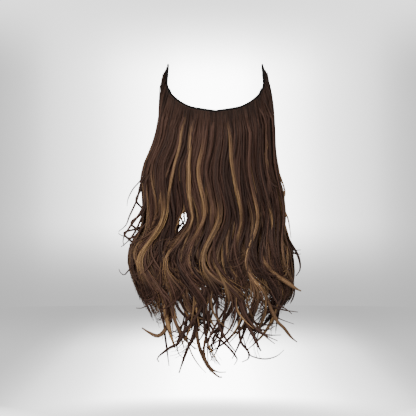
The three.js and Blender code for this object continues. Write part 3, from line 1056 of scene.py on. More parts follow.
def placed_mesh(name: str, grid: Grid, material: Material) -> Piece:
    """A new smooth piece from its arrays, riding on the one body.

    Args:
        name: The piece's name.
        grid: Its arrays. Marks of one number and of three numbers become point attributes.
        material: Its finish.

    Returns:
        The object, at the origin.
    """
    mesh = bpy.data.meshes.new(name)
    totals = np.concatenate([np.full(len(f), f.shape[1]) for f in grid.faces])
    corners = np.concatenate([f.reshape(-1) for f in grid.faces])
    mesh.vertices.add(len(grid.points))
    mesh.vertices.foreach_set("co", grid.points.astype(np.float32).ravel())
    mesh.loops.add(len(corners))
    mesh.loops.foreach_set("vertex_index", corners.astype(np.int32))
    mesh.polygons.add(len(totals))
    starts = np.concatenate([[0], np.cumsum(totals)[:-1]])
    mesh.polygons.foreach_set("loop_start", starts.astype(np.int32))
    mesh.polygons.foreach_set("loop_total", totals.astype(np.int32))
    mesh.polygons.foreach_set("use_smooth", np.ones(len(totals), bool))
    chart = mesh.uv_layers.new(name="OFBake")
    places = np.concatenate([c.reshape(-1, 2) for c in grid.corners])
    chart.data.foreach_set("uv", places.astype(np.float32).ravel())
    for mark, values in grid.marks.items():
        kind, field_name = ("FLOAT", "value") if values.ndim == 1 else ("FLOAT_VECTOR", "vector")
        carried = mesh.attributes.new(mark, kind, "POINT")
        carried.data.foreach_set(field_name, values.astype(np.float32).ravel())
    mesh.update(calc_edges=True)
    mesh.validate()
    mesh.materials.append(material)
    piece = new_object(name, mesh)
    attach(piece, ONE_BODY)
    return piece


def map_cells(count: int, columns: int, bottom: float, height: float) -> Array:
    """Equal cells of the map in rows, one for each tube.

    Args:
        count: How many cells.
        columns: Cells in a row.
        bottom: Where the first row starts.
        height: Height of all the rows together.

    Returns:
        Left, bottom, width and height of each cell.
    """
    lines = math.ceil(count / columns)
    number = np.arange(count)
    wide, high = 1.0 / columns, height / lines
    left, low = (number % columns) * wide, bottom + (number // columns) * high
    return np.stack([left, low, np.full(count, wide), np.full(count, high)], -1)


@dataclass(frozen=True)
class GoldStreak:
    """A highlighted lock, by the places that it passes.

    Attributes:
        path: Sideways place and height of each, in millimetres.
        wide: Half-width in millimetres.
        gold: How golden it is, from 0 to 1.
        layer: Share of the hair's thickness.
    """

    path: tuple[Pair, ...]
    wide: float = 3.2
    gold: float = 0.9
    layer: float = 1.35


# The highlights that stand out in the photograph: path, half-width, gold and layer.
GOLD_STREAKS = tuple(GoldStreak(*row) for row in (
    (((-52, -21), (-63, -66), (-65, -103), (-73, -132), (-90, -176)), 2.2, 0.55),
    (((-41, -40), (-43, -66), (-41, -103), (-42, -140), (-42, -185)), 3.0, 0.85, 1.6),
    (((-76, -109), (-88, -140)), 3.0, 0.6),
    (((-23, -66), (-23, -122), (-17, -149), (-25, -183)), 2.2, 0.6),
    (((-12, -127), (-5, -159)), 2.6, 0.6),
    (((22, -36), (25, -76), (36, -122), (39, -159), (37, -188)), 2.2, 0.65),
    (((82, -39), (82, -76)), 2.4, 0.45),
    (((9, -159), (-4, -194), (-15, -228), (-17, -249)), 3.4, 1.0, 1.6),
    (((63, -140), (71, -167), (54, -212), (50, -234), (57, -269), (71, -287)), 2.8, 0.8),
    (((-79, -152), (-89, -183), (-105, -212), (-122, -244)), 4.6, 1.0, 1.7),
    (((-58, -205), (-68, -228), (-80, -252)), 2.2, 0.8, 1.6),
    (((1, -231), (14, -269), (23, -295)), 3.2, 0.7),
    (((108, -215), (114, -250)), 2.6, 0.75, 1.6),
    (((-82, -292), (-76, -324), (-74, -348)), 3.8, 0.75),
))


# One array for each named number, with one entry for each lock or wisp.
Numbers = dict[str, Array]


@dataclass
class HairSection:
    """The hair sewn along one ninth of the band.

    Attributes:
        number: Which section, from 1 at the left end.
        end: Share of the hair's length at which its longest locks end.
        turn: The way that its ends turn, -1 to the left and 1 to the right.
        wall: The hair wall.
        sections: How many sections there are.
        locks: How many locks it has, in the order of the layers.
        wisps: How many wisps a lock has.
        strands: How many strands a wisp has, in the order of the layers.
        streak_strands: How many a wisp of a highlighted lock has.
        strand_radius: A strand's thickest radius, and the thinnest and thickest share of it.
        core_radius: A wisp's core is never thinner than this.
        core_share: Share of a wisp's section that its core fills, above and near its end.
        sewn_length: Length of band for the whole range of shares from 0 to 1.
        short_end: Height above which no plain lock of the lining ends.
        outer_end: How much lower the outermost locks' highest end is.
        dense_end: Height below which few locks reach.
        long_ends: How far below and above the longest lock's end long locks end.
        lowest: Height below which no wisp ends.
        long_share: Share of the outermost locks that reach below the dense part.
        drift_step: Size of the drift's steps, as a share across.
        drift_from: Drop above which a lock doesn't drift.
        lock_least: Least half-width and half-thickness of a lock, in millimetres.
        lock_most: The most.
        wisp_least: The same for a wisp.
        wisp_most: The same for a wisp.
        lining_wisp: How many times as large the lining's wisps are.
        lining_calm: How much the lining's locks stray, against the other layers'.
        lining_shaded_tone: How light they are, against the other layers'.
        even_swing: Size of the waves that calm locks keep to.
        phase_scatter: Scatter of the locks' waves.
        tints: Share of the plain locks that are a little golden, and their least and most gold.
        gold_starts: Heights at which their gold may begin, in millimetres.
        gold_ends: Heights at which it may end.
        curled: Share of the locks whose ends curl, and their least and most turn.
        slack_turn: Turn of the other ends towards the section's way, and its scatter.
        curl_starts: Shares of the fall from which ends may turn.
        streak_phase: Added to the angle of a highlighted lock's wave.
        streak_calm: How much its wisps stray, against plain ones.
        streak_tail: How far it goes on below its last place.
        streak_lowest: Height below which it doesn't end.
    """

    number: int
    end: float
    turn: int
    wall: HairWall
    sections: int = 9
    locks: tuple[int, ...] = (6, 5, 5, 4)
    wisps: int = 5
    strands: tuple[int, ...] = (6, 3, 2, 1)
    streak_strands: int = 7
    strand_radius: Triple = (0.37 * MM, 0.8, 1.15)
    core_radius: float = 0.42 * MM
    core_share: Pair = (0.72, 0.95)
    sewn_length: float = 138 * MM
    short_end: float = -264 * MM
    outer_end: float = 26 * MM
    dense_end: float = -308 * MM
    long_ends: Pair = (14 * MM, 12 * MM)
    lowest: float = -424 * MM
    long_share: float = 0.27
    drift_step: float = 0.016
    drift_from: float = 40 * MM
    lock_least: Pair = (4.5, 2.2)
    lock_most: Pair = (8.0, 3.8)
    wisp_least: Pair = (1.3, 0.7)
    wisp_most: Pair = (2.7, 1.3)
    lining_wisp: float = 1.35
    lining_calm: float = 0.35
    # lining_shaded_tone: How light the painted shade leaves them, against the other layers'.
    lining_shaded_tone: float = 0.6
    even_swing: float = 0.85
    phase_scatter: float = 0.5
    tints: Triple = (0.4, 0.1, 0.5)
    gold_starts: Pair = (-190, -60)
    gold_ends: Pair = (-340, -230)
    curled: Triple = (0.16, 1.2, 2.4)
    slack_turn: Pair = (0.3, 0.55)
    curl_starts: Pair = (0.74, 0.87)
    streak_phase: float = 0.001
    streak_calm: float = 0.15
    streak_tail: float = 60 * MM
    streak_lowest: float = -330 * MM
    rng: np.random.Generator = field(init=False)

    def __post_init__(self) -> None:
        """Gives the section its own repeatable random numbers."""
        self.rng = np.random.default_rng(4100 + self.number)

    def span(self) -> Pair:
        """Shares across at which the section starts and ends."""
        wide = 2.0 / self.sections
        return -1.0 + (self.number - 1) * wide, -1.0 + self.number * wide

    def lock_ends(self, count: int, longest: float, layer: Layer) -> Array:
        """Heights at which locks end: most in the dense part, and some down to the longest. Few of the inner
        layers' locks are long, so that light shows between the outer ones' ends.

        Args:
            count: How many locks.
            longest: The lowest end.
            layer: The locks' layer.

        Returns:
            The heights.
        """
        rng, (under, over) = self.rng, self.long_ends
        low = max(self.dense_end, longest + over)
        outer = ease(layer.value, Layer.LINING.value, Layer.SURFACE.value)
        dense = rng.uniform(low, self.short_end - self.outer_end * outer, count)
        is_long = rng.random(count) < self.long_share * outer
        return np.where(is_long, rng.uniform(longest - under, low, count), dense)

    def plain_locks(self, layer: Layer, count: int, strands: int) -> Numbers:
        """Locks of one layer, spaced evenly along the band with some scatter. The lining's stray less and are
        darker, with painted shade, so that no light shows through the middle of the hair.

        Args:
            layer: The layer.
            count: How many locks.
            strands: How many strands each of their wisps has.

        Returns:
            The locks' numbers.
        """
        rng, (low, high) = self.rng, self.span()
        longest = self.wall.band.tip_rise - self.wall.length * self.end
        # The lining's locks are darker: painted shade inside the hair.
        calm, dim = (self.lining_calm, self.lining_shaded_tone) if layer is Layer.LINING else (1.0, 1.0)
        steps = rng.normal(0.0, self.drift_step, (count, len(KNOT_DROPS)))
        steps = calm * steps * (KNOT_DROPS > self.drift_from)
        tinted, least_gold, most_gold = self.tints
        curled, least_turn, most_turn = self.curled
        follows, strays = self.slack_turn
        return {
            "root": mixed(low, high, (np.arange(count) + 0.5 + rng.uniform(-0.35, 0.35, count)) / count),
            "drift": np.cumsum(steps, 1),
            "end": self.lock_ends(count, longest, layer),
            "layer": layer.value + rng.uniform(-0.14, 0.14, count),
            "lock_half": rng.uniform(self.lock_least, self.lock_most, (count, 2)) * MM,
            "lock_root": np.full(count, 0.6 * (high - low) / count * self.sewn_length),
            "strands": np.full(count, float(strands)),
            "gold": np.where(rng.random(count) < tinted, rng.uniform(least_gold, most_gold, count), 0.0),
            "gold_from": rng.uniform(*self.gold_starts, count) * MM,
            "gold_to": rng.uniform(*self.gold_ends, count) * MM,
            "tone": rng.uniform(0.1, 0.9, count) * dim,
            "phase": calm * rng.normal(0.0, self.phase_scatter, count),
            "swing": mixed(self.even_swing, rng.uniform(0.45, 1.25, count), calm),
            "curl": np.where(
                rng.random(count) < curled,
                rng.choice([-1.0, 1.0], count) * rng.uniform(least_turn, most_turn, count),
                self.turn * follows + rng.normal(0.0, strays, count),
            ),
            "curl_from": rng.uniform(*self.curl_starts, count),
            "curl_tilt": rng.uniform(-0.1, 0.6, count),
            "loose": np.ones(count),
        }

    def highlighted_locks(self) -> list[Numbers]:
        """Highlighted locks whose roots lie in this section.

        A streak's places become shares across by looking them up on the wall, and the drift at each knot is
        the difference from the root. Above its first place and below its last one it stays as it is there.

        Returns:
            Each one's numbers.
        """
        (low, high), found = self.span(), []
        for streak in GOLD_STREAKS:
            places = np.array(streak.path) * MM
            across = self.wall.across_at(places[:, 0], places[:, 1], streak.layer)
            root = float(across[0])
            if not low <= root < high:
                continue
            heights = float(self.wall.band.top(np.array([root]))[0]) - KNOT_DROPS
            numbers: dict[str, object] = {
                "root": root,
                "drift": np.interp(-heights, -places[:, 1], across - root),
                "end": max(float(places[-1, 1]) - self.streak_tail, self.streak_lowest),
                "layer": streak.layer,
                "lock_half": np.array((0.75 * streak.wide, 0.4 * streak.wide)) * MM,
                "lock_root": 3.0 * MM,
                "strands": float(self.streak_strands),
                "gold": streak.gold,
                "gold_from": places[0, 1],
                "gold_to": places[-1, 1],
                "tone": 0.7,
                "phase": self.streak_phase,
                "swing": 1.0,
                "curl": self.turn * 0.4,
                "curl_from": 0.75,
                "curl_tilt": 0.2,
                "loose": self.streak_calm,
            }
            found.append({name: np.array([value], float) for name, value in numbers.items()})
        return found

    def lay_wisps(self) -> Numbers:
        """Numbers of each wisp: its lock's, with scatter of its own, and its place in the lock.

        Returns:
            The wisps' numbers.
        """
        rng = self.rng
        groups = [self.plain_locks(*row) for row in zip(Layer, self.locks, self.strands)]
        groups += self.highlighted_locks()
        locks = {name: np.concatenate([group[name] for group in groups]) for name in groups[0]}
        lock_count = len(locks["root"])
        own = {name: np.repeat(value, self.wisps, axis=0) for name, value in locks.items()}
        count, loose = lock_count * self.wisps, own["loose"]
        own["lock_place"] = scatter_in_disc(rng, count)
        spaced = np.tile(np.linspace(-0.9, 0.9, self.wisps), lock_count)
        own["lock_place"][:, 0] = spaced + rng.normal(0, 0.12, count)
        grown = mixed(self.lining_wisp, 1.0, ease(own["layer"], -0.6, 0.0))
        own["wisp_half"] = rng.uniform(self.wisp_least, self.wisp_most, (count, 2)) * MM * grown[:, None]
        own["wisp_root"] = own["lock_root"] / self.wisps * 1.3
        own["phase"] = own["phase"] + loose * rng.normal(0.0, 0.16, count)
        own["swing"] = own["swing"] * (1.0 + loose * rng.normal(0.0, 0.12, count))
        own["end"] = np.maximum(own["end"] + loose * rng.uniform(-18, 30, count) * MM, self.lowest)
        own["curl"] = own["curl"] + rng.normal(0.0, 0.45, count)
        own["curl_from"] = own["curl_from"] + rng.uniform(-0.06, 0.08, count)
        own["curl_tilt"] = (own["curl_tilt"] + rng.normal(0.0, 0.12, count)) * np.sign(own["curl"])
        own["tone"] = own["tone"] + rng.normal(0.0, 0.34, count)
        keeps = rng.random(count) < 0.55
        kept = np.where(keeps, rng.uniform(0.7, 1.1, count), rng.uniform(0.1, 0.5, count))
        own["gold"] = own["gold"] * kept
        gains = rng.random(count) < 0.1
        own["gold"] = np.maximum(own["gold"], np.where(gains, rng.uniform(0.25, 0.75, count), 0.0))
        middles = self.strand_numbers(own, np.arange(count), cores=True)
        middles.settle(self.wall, Room())
        own["curl"] = middles.curl
        return own

    def strand_numbers(self, wisps: Numbers, copies: Array, cores: bool) -> Strands:
        """Numbers of the strands of the wisps, or of the wisps' cores.

        Args:
            wisps: The wisps' numbers.
            copies: Which wisp each strand belongs to.
            cores: Whether each is the middle of its wisp, with nothing of its own.

        Returns:
            The strands' numbers.
        """
        rng, count = self.rng, len(copies)
        own = {name: value[copies] for name, value in wisps.items()}
        free = 0.0 if cores else 1.0
        drop = np.full(count, 1.2 * MM) if cores else rng.choice([1.0, 2.5, 6.0], count) * MM
        end = own["end"] + free * rng.beta(1.0, 2.6, count) * 34 * MM
        handed_on = "root drift layer lock_place lock_half lock_root wisp_half wisp_root curl_from"
        return Strands(
            **{name: own[name] for name in handed_on.split()},
            root_drop=drop,
            fall=self.wall.band.top(own["root"]) - drop - end,
            wisp_place=free * scatter_in_disc(rng, count),
            phase=own["phase"] + free * rng.normal(0.0, 0.03, count),
            swing=own["swing"] * (1.0 + free * rng.normal(0.0, 0.03, count)),
            curl=own["curl"] + free * rng.normal(0.0, 0.16, count),
            curl_tilt=own["curl_tilt"] + free * rng.normal(0.0, 0.1, count),
            frizz=free * rng.gamma(1.6, 0.25, count) * MM,
            frizz_turns=rng.uniform(1.5, 4.5, count),
            frizz_phase=rng.uniform(0, 2 * math.pi, count),
        )

    def coloured(
        self, grid: Grid, strands: Strands, wisps: Numbers, copies: Array, t: Array, fine: bool
    ) -> Grid:
        """Adds what the finish reads: tone, gold, fall and grain.

        Gold is the wisp's gold inside its golden heights, which it enters and leaves gently. Tone is the
        wisp's tone and the strand's own, with painted shade that darkens it just below the band's raised ends
        and in the wisps' cores. Grain is the ring's cosine and sine, and the row, set apart for each tube, so
        that noise read from it runs lengthwise.

        Args:
            grid: The tubes' arrays.
            strands: The strands' numbers.
            wisps: The wisps' numbers.
            copies: Which wisp each strand belongs to.
            t: The rows.
            fine: Whether these are strands rather than cores.

        Returns:
            The same arrays with new marks.
        """
        rng, tube, z = self.rng, grid.marks["tube"], grid.points[:, 2]
        # The cores, seen in the gaps between strands, are darker and less golden: painted shade there.
        own_tone = wisps["tone"][copies] + (rng.normal(0.07, 0.32, len(copies)) if fine else -0.25)
        # Painted shade: darker just below the band's raised ends, gone by 90 mm down.
        top = self.wall.band.top(strands.root)
        horn = ease(top, 40 * MM, 79 * MM)[tube]
        shade = 1.0 - 0.9 * horn * (1.0 - ease(top[tube] - z, 10 * MM, 90 * MM))
        start, stop = wisps["gold_from"][copies][tube], wisps["gold_to"][copies][tube]
        enters = ease(start - z, -30 * MM, 30 * MM)
        leaves = 1.0 - ease(stop - z, -15 * MM, 40 * MM)
        scatter = rng.choice([0.3, 0.9, 1.1, 1.25], len(copies))[tube] if fine else 0.35
        row = t[np.round(grid.marks["row"] * (len(t) - 1)).astype(int)]
        seed = rng.uniform(0, 40, (len(copies), 3))[tube]
        lengthwise = np.column_stack([grid.marks["ring"], 3.0 * row])
        grid.marks = {
            "tone": np.clip(own_tone[tube], 0.0, 1.0) * shade,
            "gold": np.clip(wisps["gold"][copies][tube] * enters * leaves * scatter, 0.0, 1.0),
            "fall": row,
            "grain": lengthwise + seed,
        }
        return grid

    def build(self, finish: Material) -> Piece:
        """Makes the section's strands and the close cores of its wisps as one piece.

        Args:
            finish: The hair's material.

        Returns:
            The piece, which stands for its tress in the frame.
        """
        wisps, (radius, thinnest, thickest) = self.lay_wisps(), self.strand_radius
        copies = np.repeat(np.arange(len(wisps["root"])), wisps["strands"].astype(int))
        strands = self.strand_numbers(wisps, copies, cores=False)
        strands.settle(self.wall, Room())
        t = fall_rows(5, 12, 13)
        paths, axes = strands.paths(self.wall, t)
        thick = self.rng.uniform(thinnest, thickest, len(copies))[:, None] * radius
        size = thick * (1.0 - 0.35 * ease(t, 0.8, 1.0))
        fine = swept_tubes(paths, axes, size, size, 3, map_cells(len(copies), 170, 0.0, 0.78))
        fine = self.coloured(fine, strands, wisps, copies, t, fine=True)
        each = np.arange(len(wisps["root"]))
        cores = self.strand_numbers(wisps, each, cores=True)
        t = fall_rows(5, 10, 12)
        paths, axes = cores.paths(self.wall, t)
        _, half = cores.sections(t)
        filled = mixed(*self.core_share, ease(t, 0.5, 0.85))[None, :, None]
        half = np.maximum(half * filled, self.core_radius)
        cells = map_cells(len(each), len(each), 0.8, 0.2)
        core = swept_tubes(paths, axes, half[..., 1], half[..., 0], 5, cells)
        core = self.coloured(core, cores, wisps, each, t, fine=False)
        piece = placed_mesh(f"hair_section_{self.number}", joined([fine, core]), finish)
        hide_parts(f"tress_{self.number}")
        return piece


@dataclass(frozen=True)
class LooseWisp:
    """A wisp that shows by itself at the outline or at the ends, by the places that it passes.

    Attributes:
        places: Column and row of each place in the photograph's frame.
        wide: Half-width in millimetres.
        tone: How light it is, from 0 to 1.
        gold: How golden it is.
    """

    places: tuple[Pair, ...]
    wide: float = 1.5
    tone: float = 0.25
    gold: float = 0.0


# The wisps that stand out in the photograph: places, half-width, tone and gold. First come those at the
# ends, then those at the right, then those at the left.
LOOSE_WISPS = tuple(LooseWisp(*row) for row in (
    (((163, 296), (166, 314), (170, 332), (175, 348)), 3.2, 0.8, 0.5),
    (((170, 300), (174, 318), (180, 334), (184, 348)), 2.2, 0.7, 0.35),
    (((177, 285), (181, 301), (188, 315), (192, 330)), 2.0, 0.2),
    (((192, 318), (186, 331), (178, 340), (172, 343)), 1.7, 0.1),
    (((170, 318), (165, 330), (158, 336), (150, 333), (142, 328)), 2.6, 0.5, 0.25),
    (((186, 322), (179, 342), (169, 348), (160, 355), (157, 359), (159, 362)), 1.9),
    (((163, 318), (165, 335), (167, 350), (169, 366)), 1.5),
    (((196, 320), (192, 338), (185, 355), (179, 373)), 2.0),
    (((181, 330), (177, 345), (179, 354), (183, 358)), 1.0),
    (((196, 322), (198, 342), (202, 355), (209, 368), (216, 375), (222, 379)), 2.3, 0.3, 0.15),
    (((209, 325), (204, 347), (205, 358), (211, 368), (218, 372), (226, 372)), 1.7, 0.35, 0.2),
    (((187, 335), (191, 352), (198, 364), (206, 373)), 0.9, 0.4, 0.2),
    (((222, 322), (217, 337), (211, 346), (209, 353)), 0.9),
    (((244, 312), (236, 330), (225, 342), (209, 353)), 1.5),
    (((205, 315), (217, 336), (229, 348), (236, 357), (237, 360), (234, 365)), 1.3),
    (((237, 308), (239, 328), (241, 342), (248, 351), (249, 355), (248, 359), (242, 362)), 1.8),
    (((238, 298), (245, 319), (253, 335), (259, 348), (261, 351)), 2.6, 0.1),
    (((243, 330), (249, 354), (257, 358), (267, 359), (277, 356), (284, 350)), 0.8, 0.1),
    (((268, 302), (277, 321), (284, 328), (291, 337), (297, 342)), 2.2, 0.45, 0.2),
    (((242, 296), (246, 314), (252, 321), (263, 325), (276, 323)), 1.5, 0.05),
    (((243, 300), (248, 321), (255, 328), (267, 330), (275, 326)), 1.4, 0.05),
    (((245, 306), (250, 326), (258, 332), (269, 335), (281, 335)), 1.5, 0.1),
    (((262, 258), (273, 273), (286, 282), (295, 288), (301, 291)), 2.8, 0.7, 0.45),
    (((282, 222), (291, 243), (297, 253), (300, 262), (300, 270), (296, 276)), 1.5, 0.1),
    (((282, 232), (288, 244), (294, 250), (301, 250)), 1.3, 0.1),
    (((283, 240), (290, 250), (296, 254), (301, 254)), 1.0, 0.1),
    (((270, 290), (279, 305), (286, 309), (292, 314)), 1.2, 0.3),
    (((277, 160), (282, 181), (285, 193), (282, 204), (288, 219), (291, 238)), 1.1, 0.8, 0.4),
    (((277, 190), (281, 205), (283, 218), (287, 231), (291, 243)), 1.2, 0.8, 0.35),
    (((150, 165), (140, 181), (133, 189), (128, 199), (127, 206)), 0.9, 0.4),
    (((151, 168), (141, 183), (137, 199), (129, 217), (126, 225), (119, 231), (116, 232)), 1.2, 0.3),
    (((151, 172), (145, 184), (146, 197), (140, 213), (131, 225), (123, 239), (124, 246)), 1.6, 0.2),
    (((137, 188), (136, 200), (142, 208), (148, 215), (152, 224)), 1.5, 0.2),
    (((131, 212), (131, 223), (138, 230), (145, 236), (150, 243)), 1.6, 0.2),
    (((127, 226), (124, 233), (131, 241), (136, 244), (143, 250)), 1.5, 0.2),
    (((148, 200), (143, 214), (137, 228), (131, 238), (126, 243), (121, 247)), 1.5, 0.2),
    (((149, 218), (140, 230), (132, 238), (123, 236), (117, 233)), 1.0, 0.3),
    (((147, 250), (136, 262), (128, 271), (124, 275), (120, 272), (119, 269)), 1.0, 0.2),
    (((158, 292), (150, 303), (142, 308), (136, 308)), 1.1, 0.3),
))


@dataclass
class LooseWisps:
    """The wisps that show by themselves.

    Attributes:
        wall: The hair wall.
        studio: Gives the camera that the frame's places are seen from.
        strands: Strands in a wisp.
        rows: Rows along a wisp.
        buried: Rise, above a wisp's first place, of the places that tie it into the hair.
        crossings: How many more wisps cross each other at the ends. The next seven are about these.
        starts: Columns and rows at which they start.
        inward: Columns left of which, and right of which, they lean inwards.
        leans: How far they lean.
        bows: How far they bow.
        falls: Share of the way down to the lowest rows that they fall.
        looks: Half-widths in millimetres, tones, and the golds to choose from.
        lowest: Columns and rows of the frame below which none of them reaches.
        depth_lean: How far a wisp's end may stand behind its start, from least to most.
        share: Share of the hair's thickness at which it leaves the hair.
        strand_radius: A strand's thickest radius.
    """

    wall: HairWall
    studio: Studio
    strands: int = 5
    rows: int = 32
    buried: tuple[float, ...] = (75 * MM, 35 * MM)
    crossings: int = 46
    starts: tuple[Pair, ...] = ((163, 280), (268, 300))
    inward: Pair = (186, 258)
    leans: Pair = (4, 26)
    bows: Pair = (-8, 3)
    falls: Pair = (0.55, 1.05)
    looks: tuple[tuple[float, ...], ...] = ((0.9, 1.9), (0.1, 0.6), (0.0, 0.0, 0.15, 0.4))
    lowest: tuple[Pair, ...] = (
        (150, 318), (165, 338), (180, 360), (200, 352), (221, 366), (240, 354), (262, 350), (285, 332),
        (295, 315),
    )
    depth_lean: Pair = (-9 * MM, 42 * MM)
    share: float = 0.8
    strand_radius: float = 0.42 * MM

    def spine(self, wisp: LooseWisp, lean: float) -> Array:
        """A wisp's middle line.

        Its places are seen through the camera onto the depth of the wall where it leaves the hair, plus its
        lean times the square of the share of the places passed. Above them it goes on up the wall, so that
        it is rooted in the hair. A smooth curve over the length between the places goes through them all.

        Args:
            wisp: The wisp.
            lean: How far behind its start its end stands.

        Returns:
            Points by row.
        """
        seen = np.array(wisp.places, float)
        passed = lean * np.linspace(0.0, 1.0, len(seen)) ** 2
        depth = 0.0
        for _ in range(3):
            x, z = self.studio.through_frame(seen, depth + passed)
            u = self.wall.across_at(x[:1], z[:1], self.share)
            zero = np.zeros(1)
            start, _, _ = self.wall.place(u, z[:1], zero + self.share, zero, zero + 1.0)
            depth = float(start[0, 1])
        x[0] = start[0, 0]
        free = np.stack([x, depth + passed, z], -1)
        up = z[0] + np.array(self.buried)
        zero = np.zeros_like(up)
        held, _, _ = self.wall.place(zero + u, up, zero + 0.5, zero, zero + 1.0)
        places = np.concatenate([held, free])
        reach = np.concatenate([[0.0], np.cumsum(np.linalg.norm(np.diff(places, axis=0), axis=1))])
        at = np.linspace(0.0, reach[-1], self.rows)
        return knot_curve(reach, places.T, np.tile(at, (3, 1))).T

    def crossing(self, rng: np.random.Generator) -> list[LooseWisp]:
        """Wisps that lean across each other at the ends.

        With t from 0 to 1 along a wisp, it moves aside by its lean times t to the power 1.4 and by its bow
        times the sine of half a turn of t, falls evenly, and its last part hooks aside by t to the power 4.

        Args:
            rng: The random numbers.

        Returns:
            The wisps.
        """
        count, (left, right) = self.crossings, self.inward
        x, y = (rng.uniform(*ends, count) for ends in self.starts)
        way = np.where(x < left, 1.0, np.where(x > right, -1.0, rng.choice([-1.0, 1.0], count)))
        lean = way * rng.uniform(*self.leans, count)
        bow = way * rng.uniform(*self.bows, count)
        hook = way * rng.gamma(1.6, 4.5, count)
        low = np.interp(x + lean, *np.array(self.lowest, float).T)
        fall = rng.uniform(*self.falls, count) * (low - y)
        t = np.linspace(0.0, 1.0, 8)
        lean, bow, hook, fall = (each[:, None] for each in (lean, bow, hook, fall))
        across = x[:, None] + lean * t**1.4 + bow * np.sin(math.pi * t) + hook * t**4
        down = y[:, None] + fall * t - 0.4 * np.abs(hook) * t**5
        wide, tone, gold = self.looks
        looks = zip(rng.uniform(*wide, count), rng.uniform(*tone, count), rng.choice(gold, count))
        return [LooseWisp(tuple(zip(a, b)), *look) for a, b, look in zip(across, down, looks)]

    def build(self, finish: Material) -> Piece:
        """Makes all the wisps as one piece: a close core in each, with strands round it.

        Args:
            finish: The hair's material.

        Returns:
            The piece.
        """
        rng = np.random.default_rng(77)
        wisps = [*LOOSE_WISPS, *self.crossing(rng)]
        count = len(wisps)
        leans = rng.uniform(*self.depth_lean, count)
        spines = np.stack([self.spine(wisp, lean) for wisp, lean in zip(wisps, leans)])
        spines = np.clip(spines, *Room().corners())
        t = np.linspace(0.0, 1.0, self.rows)
        fronts = np.broadcast_to(np.array([0.0, -1.0, 0.0]), spines.shape)
        wide = np.array([wisp.wide for wisp in wisps])[:, None] * 1.3 * MM
        half = wide * (1.0 - 0.68 * ease(t, 0.78, 1.0)) * mixed(0.3, 1.0, ease(t, 0.0, 0.6))
        thick, broad = 0.5 * half + 0.1 * MM, 0.9 * half + 0.15 * MM
        core = swept_tubes(spines, fronts, thick, broad, 5, map_cells(count, count, 0.8, 0.2))
        copies = np.repeat(np.arange(count), self.strands)
        place = scatter_in_disc(rng, len(copies))
        ahead = unit(np.gradient(spines[copies], axis=1))
        side = unit(np.cross(ahead, fronts[copies]))
        turn = place[:, :1] + 0.25 * np.sin(5.0 * t + rng.uniform(0, 6, (len(copies), 1)))
        paths = spines[copies] + side * (turn * half[copies])[..., None]
        paths = paths + fronts[copies] * (0.6 * place[:, 1:] * half[copies])[..., None]
        size = np.full(paths.shape[:2], self.strand_radius) * (1.0 - 0.3 * ease(t, 0.8, 1.0))
        cells = map_cells(len(copies), len(copies), 0.0, 0.78)
        fine = swept_tubes(paths, fronts[copies], size, size, 3, cells)
        tones, golds = (np.array([getattr(wisp, mark) for wisp in wisps]) for mark in ("tone", "gold"))
        for grid, owner in ((fine, copies), (core, np.arange(count))):
            tube, row = grid.marks["tube"], grid.marks["row"]
            seed = rng.uniform(0, 40, (len(owner), 3))[tube]
            tone = tones[owner] + rng.normal(0.0, 0.1, len(owner))
            gold = golds[owner] * rng.uniform(0.7, 1.2, len(owner))
            grid.marks = {
                "tone": np.clip(tone, 0.0, 1.0)[tube],
                "gold": gold[tube] * ease(row, 0.2, 0.65),
                "fall": 0.5 + 0.5 * row,
                "grain": np.column_stack([grid.marks["ring"], 2.0 * row]) + seed,
            }
        return placed_mesh("loose_wisps", joined([fine, core]), finish)


# For each section, the share of the hair's length at which its longest locks end, and the way its ends turn.
SECTION_ENDS = (
    (0.81, 1), (0.86, -1), (0.89, -1), (0.95, -1), (0.97, 1), (0.93, 1), (0.91, -1), (0.89, 1), (0.85, 1),
)


def new_group(
    name: str, inputs: dict[str, tuple[str, object]], outputs: dict[str, str]
) -> tuple[NodeTree, Nodes]:
    """An empty shader node group.

    Args:
        name: Its name.
        inputs: Each input's socket type and value.
        outputs: Each output's socket type.

    Returns:
        The group and its layout hand.
    """
    tree = bpy.data.node_groups.new(name, "ShaderNodeTree")
    for title, (kind, value) in inputs.items():
        socket = tree.interface.new_socket(title, in_out="INPUT", socket_type=kind)
        if value is not None:
            socket.default_value = value
    for title, kind in outputs.items():
        tree.interface.new_socket(title, in_out="OUTPUT", socket_type=kind)
    return tree, Nodes(tree)


def strand_grain_group() -> NodeTree:
    """Lengthwise grain: noise read from a vector that runs slowly along a strand and fast round it.

    Returns:
        The group, with outputs Fine and Broad, both from 0 to 1.
    """
    tree, nodes = new_group(
        "strand_grain",
        {
            "Vector": ("NodeSocketVector", None),
            "Fine Scale": ("NodeSocketFloat", 9.0),
            "Broad Scale": ("NodeSocketFloat", 1.6),
        },
        {"Fine": "NodeSocketFloat", "Broad": "NodeSocketFloat"},
    )
    start, end = nodes.add("NodeGroupInput"), nodes.add("NodeGroupOutput")
    for title, detail in (("Fine", 3.0), ("Broad", 2.0)):
        noise = nodes.noise(start.outputs["Vector"], start.outputs[f"{title} Scale"], detail)
        nodes.feed(end, {title: noise})
    return tree


def woven_thread_group() -> NodeTree:
    """Thread relief: two crossing sets of fine waves, with noise that breaks them up.

    Returns:
        The group, with outputs Height and Wear, both from 0 to 1.
    """
    tree, nodes = new_group(
        "woven_thread",
        {"Vector": ("NodeSocketVector", None), "Threads": ("NodeSocketFloat", 900.0)},
        {"Height": "NodeSocketFloat", "Wear": "NodeSocketFloat"},
    )
    start, end = nodes.add("NodeGroupInput"), nodes.add("NodeGroupOutput")
    heights = []
    for direction in ("X", "Z"):
        inputs = {"Vector": start.outputs["Vector"], "Scale": start.outputs["Threads"], "Distortion": 1.5}
        wave = nodes.add("ShaderNodeTexWave", inputs, wave_type="BANDS", bands_direction=direction)
        heights.append(wave.outputs["Fac"])
    wear = nodes.noise(start.outputs["Vector"], 260.0, 2.0)
    nodes.feed(end, {"Height": nodes.maths("MAXIMUM", *heights), "Wear": wear})
    return tree


